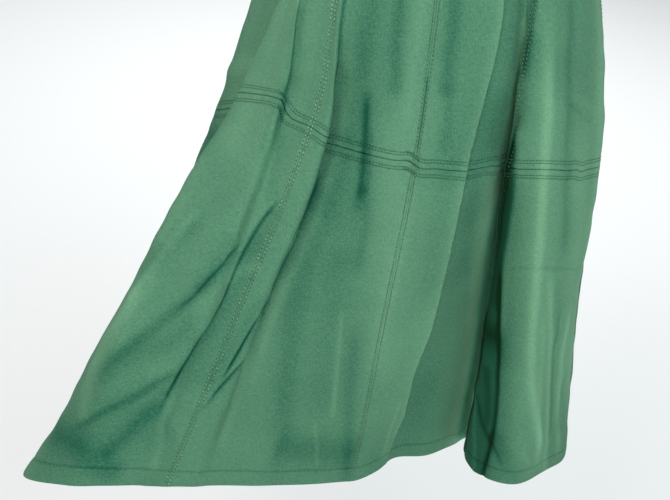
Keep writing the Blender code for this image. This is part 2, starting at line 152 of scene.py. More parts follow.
TROUGH, HOLLOW, RIDGE = CreaseKind.TROUGH, CreaseKind.HOLLOW, CreaseKind.RIDGE
STEP_RIGHT, STEP_LEFT = CreaseKind.STEP_RIGHT, CreaseKind.STEP_LEFT
# A number after a path is painted shade, below zero, or painted highlight, above zero, kept in the cloth's colour and
# the same in any light; it is strongest in the deep fold and on the recess's wall.
CREASES = (
    # The panel at the viewer's left, which swings out.
    Crease("beside_seam", STEP_RIGHT, 2.6, 3.0,
           ((4.29, 60), (4.32, 150), (4.37, 215), (4.38, 240), (4.32, 266), (4.36, 294)), 0.0),
    Crease("beside_seam_low", STEP_RIGHT, 0.9, 5.0, ((4.30, 245), (4.48, 290), (4.76, 328), (5.29, 405)), -0.06),
    Crease("beside_seam_line", TROUGH, 1.0, 5.0,
           ((4.36, 150), (4.36, 190), (4.34, 240), (4.46, 300), (4.75, 350)), -0.16),
    Crease("side_light", RIDGE, 0.3, 34.0, ((35.0, -20), (35.2, 130), (35.4, 260), (35.8, 360)), 0.27),
    Crease("side_draw", TROUGH, 6.2, 30.0,
           ((34.9, 40), (35.0, 150), (35.05, 214), (35.05, 290), (35.2, 360), (35.5, 470))),
    Crease("side_bump", RIDGE, 2.0, 9.0, ((33.9, 262), (34.6, 256), (35.4, 250), (36.2, 246))),
    Crease("side_dip", TROUGH, 1.6, 9.0, ((34.0, 330), (34.7, 330), (35.4, 330), (36.2, 332))),
    Crease("upper_left_light", RIDGE, 0.4, 20.0, ((0.8, 150), (1.6, 240), (2.5, 310), (2.7, 370)), 0.08),
    Crease("upper_panel_light", RIDGE, 0.3, 32.0, ((3.4, -40), (3.4, 60), (3.3, 200), (3.4, 300), (3.4, 340)), 0.12),
    Crease("outer_light", RIDGE, 0.4, 12.0, ((2.05, 470), (1.95, 530), (1.7, 580), (1.75, 620), (1.9, 650)), 0.14),
    Crease("outer_rise", RIDGE, 0.3, 14.0, ((1.95, 360), (2.05, 394), (2.15, 430), (2.2, 460)), 0.08),
    Crease("upper_rise", RIDGE, 0.3, 30.0, ((3.0, 330), (3.2, 345), (4.6, 345)), 0.06),
    Crease("left_dim", TROUGH, 0.4, 9.0, ((3.0, 420), (2.75, 440), (2.5, 455), (2.3, 475), (2.1, 510)), -0.10),
    Crease("long_edge", STEP_RIGHT, 2.2, 4.0,
           ((5.72, 378), (5.38, 402), (5.04, 450), (4.85, 500), (4.50, 530), (3.96, 575), (3.79, 635))),
    Crease("long_line", TROUGH, 1.6, 2.0,
           ((5.90, 374), (5.42, 402), (5.08, 450), (4.89, 500), (4.54, 530), (4.00, 573), (3.80, 640)), -0.27),
    # Painted shade in a broad band between the long creases.
    Crease("shaded_band", TROUGH, 0.6, 13.0, ((5.7, 400), (5.55, 470), (5.25, 540), (5.05, 600)), -0.08),
    Crease("left_seam_shade", TROUGH, 0.3, 6.0, ((3.9, 265), (3.83, 300), (3.9, 330), (4.05, 365)), -0.09),
    Crease("long_shadow", TROUGH, 2.4, 7.0,
           ((5.0, 434), (4.4, 449), (3.95, 466), (3.71, 482), (3.4, 503), (2.96, 532), (2.46, 560),
            (1.42, 605)), -0.06),
    Crease("shadow_line", TROUGH, 1.1, 2.0,
           ((5.0, 431), (4.62, 441), (4.2, 452), (3.92, 463), (3.71, 479), (3.5, 498), (3.17, 518)), -0.12),
    Crease("low_shadow", TROUGH, 2.0, 4.5, ((4.0, 568), (3.08, 608), (2.42, 628), (1.57, 652)), -0.07),
    Crease("lowest_shadow", TROUGH, 1.8, 8.0, ((3.9, 605), (3.29, 644), (2.6, 684)), -0.06),
    Crease("above_shadow", TROUGH, 0.4, 9.0, ((4.0, 425), (3.85, 446), (3.7, 472), (3.5, 492)), -0.07),
    Crease("shadow_spread", TROUGH, 0.7, 12.0, ((3.9, 500), (3.45, 545), (2.8, 562), (2.3, 580), (1.8, 602)), -0.12),
    Crease("line_side", TROUGH, 0.5, 7.0, ((4.45, 520), (4.05, 565), (3.85, 590), (3.80, 610)), -0.16),
    Crease("above_line", RIDGE, 0.5, 7.0, ((6.2, 440), (5.5, 452), (4.6, 474)), 0.10),
    Crease("edge_light", RIDGE, 0.6, 9.0, ((2.50, 470), (2.30, 500), (2.00, 525), (1.60, 560), (1.45, 640)), 0.11),
    Crease("beside_line", RIDGE, 0.5, 6.0, ((4.0, 600), (4.35, 640), (4.70, 665), (4.9, 700)), 0.11),
    Crease("lobe_low", TROUGH, 0.4, 16.0, ((0.8, 650), (1.8, 665), (2.6, 685), (3.6, 700)), -0.18),
    Crease("left_gleam", RIDGE, 1.4, 5.0, ((2.75, 415), (2.60, 440), (2.30, 480), (1.9, 520)), 0.06),
    Crease("lobe_depth", TROUGH, 1.0, 45.0, ((4.9, 620), (3.4, 640), (2.2, 660), (0.9, 690)), -0.10),
    # The strip beside the left front seam and the folds that run on from it.
    Crease("strip_line", TROUGH, 1.2, 1.8,
           ((7.85, 60), (7.80, 120), (7.75, 200), (7.65, 300), (7.65, 390), (7.74, 480)), -0.22),
    Crease("strip_edge_line", TROUGH, 0.6, 2.6,
           ((7.8, 275), (8.0, 310), (8.3, 342), (8.45, 366), (8.45, 400), (8.35, 430), (8.25, 458), (8.1, 490)), -0.30),
    Crease("strip_side", TROUGH, 0.4, 14.0, ((9.9, 270), (10.0, 310), (10.1, 350), (10.1, 380)), -0.07),
    Crease("strip_dim", TROUGH, 0.3, 6.0, ((10.0, 335), (10.04, 365), (10.06, 395), (10.05, 425), (10.0, 455)), -0.11),
    Crease("strip_foot_glow", RIDGE, 0.3, 7.0, ((9.5, 530), (9.3, 580), (9.15, 620), (9.0, 670)), 0.10),
    Crease("strip_contact", TROUGH, 0.5, 3.6,
           ((9.64, 320), (9.70, 360), (9.76, 404), (9.74, 430), (9.70, 460), (9.6, 510)), -0.32),
    Crease("strip_tuck", TROUGH, 3.2, 8.0, ((8.1, 200), (8.15, 270), (8.15, 320), (8.15, 360), (8.1, 410))),
    Crease("strip_low_side", TROUGH, 0.4, 8.0, ((6.9, 460), (6.71, 498), (6.46, 528), (6.25, 560), (6.0, 600)), -0.12),
    Crease("strip_split", STEP_RIGHT, 1.8, 2.2, ((8.2, 455), (7.71, 480), (6.95, 508), (6.40, 575)), -0.08),
    Crease("split_line", TROUGH, 1.3, 1.7, ((7.74, 470), (7.4, 490), (6.92, 512), (6.45, 580)), -0.30),
    Crease("strip_tail", STEP_RIGHT, 1.8, 2.4,
           ((9.3, 450), (9.30, 500), (8.6, 530), (6.92, 560), (6.15, 615)), -0.08),
    Crease("tail_line", TROUGH, 1.4, 1.8,
           ((7.80, 470), (8.15, 500), (8.3, 532), (6.90, 560), (6.10, 618)), -0.30),
    # The front panel.
    Crease("beside_strip", TROUGH, 1.5, 15.0,
           ((9.4, -60), (9.60, 162), (9.92, 204), (10.08, 248), (10.17, 302), (10.33, 350), (10.33, 396),
            (10.30, 430), (10.40, 480), (10.48, 530), (10.54, 580), (10.62, 640), (10.70, 780)), -0.09),
    Crease("strip_foot_light", RIDGE, 0.4, 7.0,
           ((9.3, 20), (9.55, 162), (9.85, 204), (9.98, 248), (10.05, 302), (10.15, 350), (10.15, 420), (10.1, 470),
            (10.0, 530), (9.9, 600)), 0.15),
    Crease("front_dim", TROUGH, 0.4, 24.0, ((10.6, 20), (10.8, 170), (10.9, 250), (11.0, 350), (11.0, 450)), -0.08),
    Crease("panel_dim", TROUGH, 0.4, 20.0, ((12.7, -60), (12.7, 20), (12.8, 170), (12.85, 260), (12.85, 330)), -0.07),
    Crease("top_dim", TROUGH, 0.3, 9.0, ((9.3, 20), (9.45, 120), (9.65, 165), (9.95, 205)), -0.05),
    Crease("top_shade", TROUGH, 0.3, 9.0, ((10.3, -60), (10.38, 60), (10.46, 150), (10.5, 190), (10.53, 230)), -0.09),
    Crease("front_shade", TROUGH, 0.4, 20.0, ((10.9, 400), (10.95, 460), (11.05, 540), (11.15, 640)), -0.08),
    Crease("dimple", TROUGH, 1.2, 6.5, ((10.67, 222), (10.77, 258), (10.90, 290), (11.03, 325), (11.06, 380)), -0.16),
    Crease("dimple_heart", TROUGH, 0.5, 3.2,
           ((10.72, 236), (10.81, 270), (10.91, 300), (11.00, 330), (11.01, 355)), -0.10),
    Crease("dimple_twin", TROUGH, 0.4, 3.2, ((10.98, 270), (11.08, 300), (11.14, 325), (11.12, 350)), -0.06),
    Crease("drape_one", TROUGH, 1.2, 7.0, ((11.1, 20), (11.27, 174), (11.35, 205), (11.4, 240)), -0.10),
    Crease("drape_light", RIDGE, 1.0, 8.0, ((11.7, 20), (11.68, 180), (11.68, 275)), 0.03),
    Crease("front_gleam", RIDGE, 1.3, 3.5, ((11.15, 470), (11.30, 552), (11.42, 625)), 0.06),
    Crease("low_gleam", RIDGE, 0.9, 3.0, ((11.10, 620), (11.24, 655), (11.33, 690)), 0.05),
    Crease("low_depth", TROUGH, 0.8, 22.0, ((10.45, 652), (10.8, 657), (11.2, 660), (11.6, 665), (12.2, 670)), -0.17),
    Crease("low_side", TROUGH, 0.5, 9.0, ((11.45, 480), (11.55, 540), (11.65, 600), (11.82, 660), (11.95, 740)), -0.13),
    # The panel at the viewer's right of the centre front seam, and the deep fold.
    # Painted shade in a small dip.
    Crease("small_dip_shade", TROUGH, 0.6, 6.0, ((12.55, 205), (12.70, 245), (12.74, 290)), -0.07),
    Crease("lip_dim", TROUGH, 0.3, 14.0,
           ((13.6, 60), (13.6, 186), (13.45, 256), (13.2, 300), (13.2, 350), (13.4, 420), (13.5, 500)), -0.08),
    Crease("drape_two", TROUGH, 1.4, 8.0, ((12.4, 20), (12.46, 140), (12.48, 190), (12.5, 232)), -0.11),
    Crease("centre_light", RIDGE, 0.4, 22.0,
           ((11.5, 210), (11.6, 330), (11.9, 430), (12.2, 520), (12.6, 600), (12.8, 680)), 0.09),
    Crease("front_seam_line", TROUGH, 0.5, 1.3, ((12.0, 200), (12.0, 245), (12.0, 292)), -0.24),
    Crease("lip_light", RIDGE, 0.4, 3.0, ((13.50, 600), (13.35, 635), (13.28, 665), (13.22, 700)), 0.10),
    Crease("recess_foot", TROUGH, 0.3, 28.0, ((14.4, 560), (14.5, 620), (14.6, 670), (14.7, 760)), -0.04),
    Crease("foot_dim", TROUGH, 0.3, 20.0, ((12.5, 560), (12.6, 620), (12.7, 670), (12.8, 720)), -0.07),
    Crease("seam_light", RIDGE, 0.3, 7.0, ((12.0, 320), (12.0, 400), (12.0, 480), (12.0, 560)), 0.08),
    Crease("dimple_tail", TROUGH, 0.4, 6.0,
           ((11.10, 330), (11.20, 350), (11.28, 375), (11.30, 410), (11.30, 440)), -0.09),
    Crease("recess_lip", STEP_RIGHT, 2.2, 2.6,
           ((14.08, 20), (14.05, 90), (13.83, 202), (13.79, 300), (13.88, 400), (13.92, 500), (13.74, 560),
            (13.80, 608), (13.86, 640), (13.66, 672), (13.50, 740))),
    Crease("recess_turn", STEP_RIGHT, 3.4, 17.0,
           ((14.10, -20), (14.07, 90), (13.85, 202), (13.81, 300), (13.90, 400), (13.94, 500), (13.76, 560),
            (13.82, 608), (13.88, 640), (13.68, 672), (13.52, 780)), 0.06),
    Crease("recess_light", RIDGE, 3.5, 15.0,
           ((15.1, 270), (15.2, 336), (15.35, 416), (15.5, 504), (15.6, 596), (15.6, 800)), 0.12),
    Crease("recess_dim", TROUGH, 0.3, 22.0, ((14.6, 200), (14.7, 270), (14.8, 330), (14.9, 380)), -0.06),
    Crease("recess_glow", RIDGE, 0.3, 22.0, ((14.8, 430), (15.0, 490), (15.2, 550), (15.3, 620)), 0.07),
    Crease("recess_wall", RIDGE, 0.4, 14.0,
           ((15.45, 300), (15.5, 384), (15.6, 464), (15.65, 568), (15.7, 640), (15.7, 860)), 0.64, 0.5),
    Crease("deep_fold", TROUGH, 6.0, 6.5,
           ((16.95, 228), (17.0, 262), (17.05, 300), (17.05, 350), (17.0, 430),
            (17.0, 528), (16.95, 610), (16.95, 800)), -0.30, 0.9),
    Crease("fold_return", HOLLOW, 0.3, 12.0,
           ((16.75, 262), (16.75, 340), (16.72, 430), (16.7, 528), (16.7, 640), (16.7, 830)), -0.42, 0.5),
    Crease("fold_top", TROUGH, 0.4, 5.0,
           ((16.85, 100), (16.9, 130), (16.95, 155), (17.0, 182), (17.15, 208)), -0.26, 0.7),
    Crease("fold_top_wall", RIDGE, 0.3, 6.0,
           ((15.8, 140), (15.85, 165), (15.9, 185), (16.0, 206), (16.5, 236), (16.9, 256)), 0.24, 0.5),
    Crease("fold_top_side", TROUGH, 0.3, 10.0,
           ((17.3, 150), (17.35, 180), (17.4, 205), (17.5, 232), (17.6, 262)), -0.17, 0.8),
    Crease("fold_face", HOLLOW, 1.2, 11.5,
           ((17.12, 258), (17.2, 285), (17.38, 312), (17.46, 342), (17.48, 384), (17.52, 416),
            (17.75, 464), (18.0, 550)), -0.54, 1.0),
    Crease("fold_base", HOLLOW, 0.8, 26.0,
           ((17.58, 475), (17.68, 525), (17.77, 570), (17.84, 640), (17.82, 700), (17.7, 850)), -0.42, 1.0),
    Crease("fold_streak", RIDGE, 0.6, 4.0, ((17.3, 570), (17.5, 620), (17.7, 660), (17.85, 700), (18.0, 740)), 0.06),
    Crease("fold_soft", TROUGH, 0.3, 12.0,
           ((17.7, 290), (18.1, 350), (18.2, 410), (18.4, 480), (18.5, 560), (18.55, 640), (18.5, 800)), -0.12),
    Crease("fold_inside", TROUGH, 2.0, 3.2,
           ((17.85, 400), (18.08, 470), (18.24, 530), (18.32, 580), (18.33, 630), (18.24, 680), (18.10, 760)), -0.18),
    Crease("fold_tuck", TROUGH, 1.0, 4.0, ((17.3, 590), (17.8, 620), (18.3, 655), (18.7, 690)), -0.08),
    Crease("fold_middle", TROUGH, 0.3, 6.0, ((17.85, 548), (18.0, 570), (18.12, 600), (18.15, 645)), -0.10, 0.9),
    # The round fold at the viewer's right.
    Crease("tube_gleam", RIDGE, 1.8, 6.0,
           ((18.4, 120), (18.72, 200), (18.85, 236), (18.96, 290), (19.02, 372), (19.05, 440), (19.07, 500),
            (19.22, 558), (19.48, 616), (19.72, 665), (19.8, 720)), 0.20),
    Crease("tube_light", RIDGE, 0.3, 20.0, ((19.2, 180), (19.3, 330), (19.4, 450), (19.5, 600), (19.6, 760)), 0.11),
    Crease("tube_second", RIDGE, 1.1, 5.5, ((19.4, 400), (19.66, 490), (19.86, 590), (19.95, 660), (20.0, 730)), 0.20),
    Crease("tube_third", RIDGE, 0.6, 5.0, ((19.3, 440), (19.45, 520), (19.52, 570), (19.6, 630), (19.65, 710)), 0.11),
    Crease("tube_foot", TROUGH, 0.3, 14.0, ((18.3, 630), (18.8, 680), (19.2, 730)), -0.12),
    Crease("tube_hollow", TROUGH, 1.2, 8.0,
           ((19.6, 20), (19.52, 165), (19.52, 200), (19.62, 258), (19.85, 354), (20.0, 410)), -0.07),
    Crease("pressed_line", TROUGH, 0.5, 1.8, ((18.08, 418), (19.25, 411), (21.21, 420)), -0.07),
    # Where the tier seam steps down, its lines are drawn in hard.
    Crease("left_step_shade", TROUGH, 0.6, 5.0, ((4.25, 278), (4.42, 300), (4.62, 324)), -0.06),
    Crease("left_step_upper", TROUGH, 0.4, 1.5, ((3.80, 292), (4.25, 293), (4.75, 296)), -0.16),
    Crease("left_step_middle", TROUGH, 0.4, 1.3, ((4.00, 300), (4.40, 300), (4.80, 302)), -0.16),
    Crease("left_step_lower", TROUGH, 0.4, 1.5, ((3.90, 308), (4.40, 308), (4.90, 310)), -0.16),
    Crease("front_step_upper", TROUGH, 0.4, 1.5, ((11.72, 290), (11.90, 291), (12.14, 294)), -0.24),
    Crease("front_step_middle", TROUGH, 0.4, 1.3, ((11.76, 299), (11.95, 300), (12.20, 302)), -0.18),
    Crease("front_step_lower", TROUGH, 0.4, 1.5, ((11.74, 308), (11.92, 309), (12.14, 311)), -0.24),
    Crease("hip_wrinkle", RIDGE, 0.9, 3.0, ((19.55, 218), (20.83, 246))),
    Crease("hip_wrinkle_low", TROUGH, 0.7, 3.0, ((19.5, 228), (20.6, 256)), -0.05),
    Crease("side_wrinkle", STEP_LEFT, 1.6, 2.4, ((20.15, 455), (19.98, 524), (20.12, 600), (20.15, 665)), -0.08),
    Crease("side_gleam", RIDGE, 1.2, 6.0, ((20.5, 455), (20.30, 524), (20.32, 584), (20.4, 640), (20.6, 700)), 0.19),
    Crease("edge_rise", RIDGE, 0.4, 18.0,
           ((20.9, 40), (20.9, 192), (21.0, 260), (21.1, 334), (21.1, 400), (21.2, 560), (21.1, 680)), 0.36),
    Crease("side_rise", RIDGE, 0.5, 24.0,
           ((20.2, 200), (20.25, 300), (20.42, 366), (20.42, 420), (20.5, 460), (20.6, 540), (20.6, 640)), 0.24),
    Crease("side_wrinkle_low", TROUGH, 1.1, 3.0, ((20.7, 550), (20.45, 610), (20.4, 660)), -0.07),
    Crease("hem_wrinkle", RIDGE, 0.8, 2.6, ((19.10, 655), (19.42, 684)), 0.05),
    # The right side and the back, which hang like the front.
    Crease("right_side_fold", TROUGH, 2.2, 6.0, ((22.8, 200), (23.0, 330), (23.5, 470), (23.6, 620)), -0.05),
    Crease("right_back_gleam", RIDGE, 1.4, 5.0, ((24.4, 180), (24.6, 330), (24.7, 500), (24.9, 650))),
    Crease("back_right_fold", STEP_LEFT, 2.4, 4.0, ((26.9, 330), (26.8, 430), (26.5, 560), (26.4, 660))),
    Crease("back_right_hang", TROUGH, 1.8, 6.5, ((27.3, 150), (27.2, 300), (27.1, 480)), -0.05),
    Crease("back_gleam", RIDGE, 1.2, 5.0, ((28.1, 260), (28.2, 400), (28.3, 620))),
    Crease("back_left_hang", TROUGH, 2.0, 7.0, ((29.9, 200), (30.1, 360), (30.3, 560), (30.2, 700)), -0.05),
    Crease("back_left_fold", STEP_RIGHT, 2.2, 4.0, ((30.9, 320), (30.8, 450), (31.1, 600))),
    Crease("back_drag", TROUGH, 1.2, 4.0, ((32.4, 330), (33.2, 400), (34.3, 490), (35.2, 560))),
    Crease("back_drag_low", RIDGE, 1.3, 5.0, ((32.6, 470), (33.6, 540), (34.8, 610))),
    Crease("left_back_hang", TROUGH, 1.8, 6.0, ((32.9, 160), (33.0, 260), (33.1, 340))),
    Crease("left_back_edge", STEP_LEFT, 1.8, 4.0, ((34.0, 350), (34.4, 470), (34.6, 620))),
    Crease("lobe_gleam", RIDGE, 1.2, 5.0, ((0.6, 380), (0.7, 500), (0.8, 640))),
    Crease("lobe_shadow", TROUGH, 1.4, 5.0, ((35.5, 340), (35.6, 460), (35.4, 600))),
)


class Wave(NamedTuple):
    """A slow swell of the cloth: its length and height in millimetres, and how it lies."""

    length: float
    height: float
    heading: float
    climb: float
    phase: float


SWELLS = (
    Wave(118, 0.9, 12, 14, 0.4), Wave(83, 0.6, 64, 10, 2.1), Wave(61, 0.45, 131, 22, 4.0),
    Wave(47, 0.30, 160, 38, 1.2), Wave(37, 0.22, 35, 55, 5.1), Wave(29, 0.15, 98, 66, 3.3),
)
PUCKERS = (Wave(9.0, 0.10, 0, 0, 0.3), Wave(14.5, 0.16, 0, 0, 2.2), Wave(23.0, 0.22, 0, 0, 4.4))


class Jog(NamedTuple):
    """Where the seam between the tiers steps down: its ring, and drop and half-width in millimetres."""

    ring: float
    drop: float
    width: float


JOGS = (
    Jog(0.0, -1.2, 8), Jog(4.75, 3.6, 8), Jog(12.0, 2.5, 8), Jog(17.0, -1.2, 8), Jog(20.1, 1.2, 7),
    Jog(22.0, 1.8, 9), Jog(26.0, -1.6, 8), Jog(29.0, 2.0, 8), Jog(32.0, 1.4, 9),
)


@dataclass(frozen=True)
class SeamSection:
    """The cloth's section beside a seam, in millimetres, and how dark its lines look.

    The valley is the seam itself, the bulk is the allowance behind it and the rows are stitched.
    """

    valley: float
    valley_width: float
    bulk: float
    bulk_width: float
    rows: tuple[float, ...] = ()
    groove: float = 0.0
    groove_width: float = 1.0
    line_tone: float = -0.2
    row_tone: float = 0.0
    line_tone_width: float = 0.65
    row_tone_width: float = 0.5


@dataclass(frozen=True)
class HemSection:
    """The cloth's section where the turned-up hem is stitched, in metres, and how dark its line looks."""

    groove: float = 0.45 * MM
    groove_width: float = 1.0 * MM
    bulk: float = 0.35 * MM
    bulk_reach: float = 6 * MM
    tone: float = -0.20


SIDE_SECTION = SeamSection(0.12, 0.5, 0.45, 7.0, (2.3,), 0.30, 0.6, 0.0, -0.12)
TIER_SECTION = SeamSection(0.50, 0.5, 0.60, 11.0, (6.6, 9.5), 0.45, 0.6, -0.26, -0.35)
BAND_SECTION = SeamSection(0.60, 0.6, 0.30, 6.0)
HEM_SECTION = HemSection()


def hermite(before: np.ndarray, start: np.ndarray, end: np.ndarray, after: np.ndarray,
            knots: Sequence[np.ndarray], at: np.ndarray) -> np.ndarray:
    """Reads the curve through four points between its middle two.

    Args:
        before, start, end, after: The points.
        knots: Where each point lies along the curve.
        at: Where to read it.

    Returns:
        The points on the curve.
    """
    slope_in = (end - before) / (knots[2] - knots[0])
    slope_out = (after - start) / (knots[3] - knots[1])
    span = knots[2] - knots[1]
    t = (at - knots[1]) / span
    return (start * (2 * t**3 - 3 * t**2 + 1) + slope_in * span * (t**3 - 2 * t**2 + t)
            + end * (3 * t**2 - 2 * t**3) + slope_out * span * (t**3 - t**2))


def smooth_step(value: np.ndarray) -> np.ndarray:
    """Eases a number from 0 to 1."""
    value = np.clip(value, 0.0, 1.0)
    return value * value * (3 - 2 * value)


def unit(vectors: np.ndarray) -> np.ndarray:
    """Scales vectors to length 1."""
    return vectors / np.maximum(np.linalg.norm(vectors, axis=-1, keepdims=True), 1e-12)


@dataclass(frozen=True)
class ClothForm:
    """The smooth surface that every panel and every solid lies on."""

    waist_half_width: float = 125 * MM
    waist_half_depth: float = 95 * MM
    hip_height: float = -150 * MM
    levels: tuple[float, ...] = (0.0, 150 * MM, TIER_SEAM, 485 * MM, HEM)

    def stations(self) -> np.ndarray:
        """Returns each rib's points at the waist, hip, tier seam, calf and hem."""
        down = (self.levels[3] - self.levels[2]) / (self.levels[4] - self.levels[2])
        rows = []
        for rib in RIBS:
            turn = math.radians(180 + 45 * rib.cut)
            waist = (self.waist_half_width * math.cos(turn), self.waist_half_depth * math.sin(turn), 0)
            tier, hem = np.array(rib.tier) * MM, np.array(rib.hem) * MM
            calf = tier * (1 - down) + hem * down + np.array((*rib.belly, 0)) * MM
            rows.append((waist, (rib.hip[0] * MM, rib.hip[1] * MM, self.hip_height), tier, calf, hem))
        return np.array(rows, dtype=float)

    def rib_points(self, levels: np.ndarray) -> np.ndarray:
        """Reads every rib at some levels.

        Args:
            levels: How far down the cloth.

        Returns:
            Points by level and rib.
        """
        marks = list(self.levels)
        points = self.stations()
        first = 2 * points[:, :1] - points[:, 1:2]
        last = 2 * points[:, -1:] - points[:, -2:-1]
        points = np.concatenate((first, points, last), axis=1)
        knots = [2 * marks[0] - marks[1], *marks, 2 * marks[-1] - marks[-2]]
        rows = []
        for level in levels:
            span = 0
            while span < len(marks) - 2 and level > marks[span + 1]:
                span += 1
            ends = [points[:, span + step] for step in range(4)]
            rows.append(hermite(*ends, knots[span:span + 4], level))
        return np.array(rows)

    def points(self, rings: np.ndarray, levels: np.ndarray) -> np.ndarray:
        """Places the cloth's outer face.

        Args:
            rings: Ring places, a row of them for each level.
            levels: The level of each row.

        Returns:
            Points, in the shape of rings.
        """
        ribs = self.rib_points(levels)
        place = np.floor(rings).astype(int)
        row = np.arange(len(levels))[:, None]
        ends = [ribs[row, (place + step) % len(RIBS)] for step in (-1, 0, 1, 2)]
        knots = [np.zeros(rings.shape)[..., None]]
        for one, two in zip(ends, ends[1:]):
            knots.append(knots[-1] + np.sqrt(np.linalg.norm(two - one, axis=-1, keepdims=True)))
        at = knots[1] + (rings - place)[..., None] * (knots[2] - knots[1])
        return hermite(*ends, knots, at)

    def frames(self, rings: np.ndarray, levels: np.ndarray) -> tuple[np.ndarray, np.ndarray, np.ndarray]:
        """Returns the cloth's points, outward normals and downward directions."""
        ring_step, drop = 0.01, 1 * MM
        along = self.points(rings + ring_step, levels) - self.points(rings - ring_step, levels)
        down = self.points(rings, levels + drop) - self.points(rings, levels - drop)
        return self.points(rings, levels), unit(np.cross(down, along)), unit(down)

    def path(self, places: Sequence[tuple[float, float]], count: int = 28) -> tuple[np.ndarray, np.ndarray]:
        """Draws a smooth line over the cloth.

        Args:
            places: (ring, level in millimetres) places that it passes.
            count: How many points to give.

        Returns:
            Its points, and their (ring, level in metres) places.
        """
        rows = np.array(places, dtype=float) * (1.0, MM)
        rows = np.concatenate((2 * rows[:1] - rows[1:2], rows, 2 * rows[-1:] - rows[-2:-1]))
        knots = np.arange(len(rows), dtype=float)
        spots = []
        for at in np.linspace(1, len(rows) - 2, count):
            span = min(int(at), len(rows) - 3)
            spots.append(hermite(*rows[span - 1:span + 3], knots[span - 1:span + 3], at))
        spots = np.array(spots)
        return self.points(spots[:, :1], spots[:, 1])[:, 0], spots


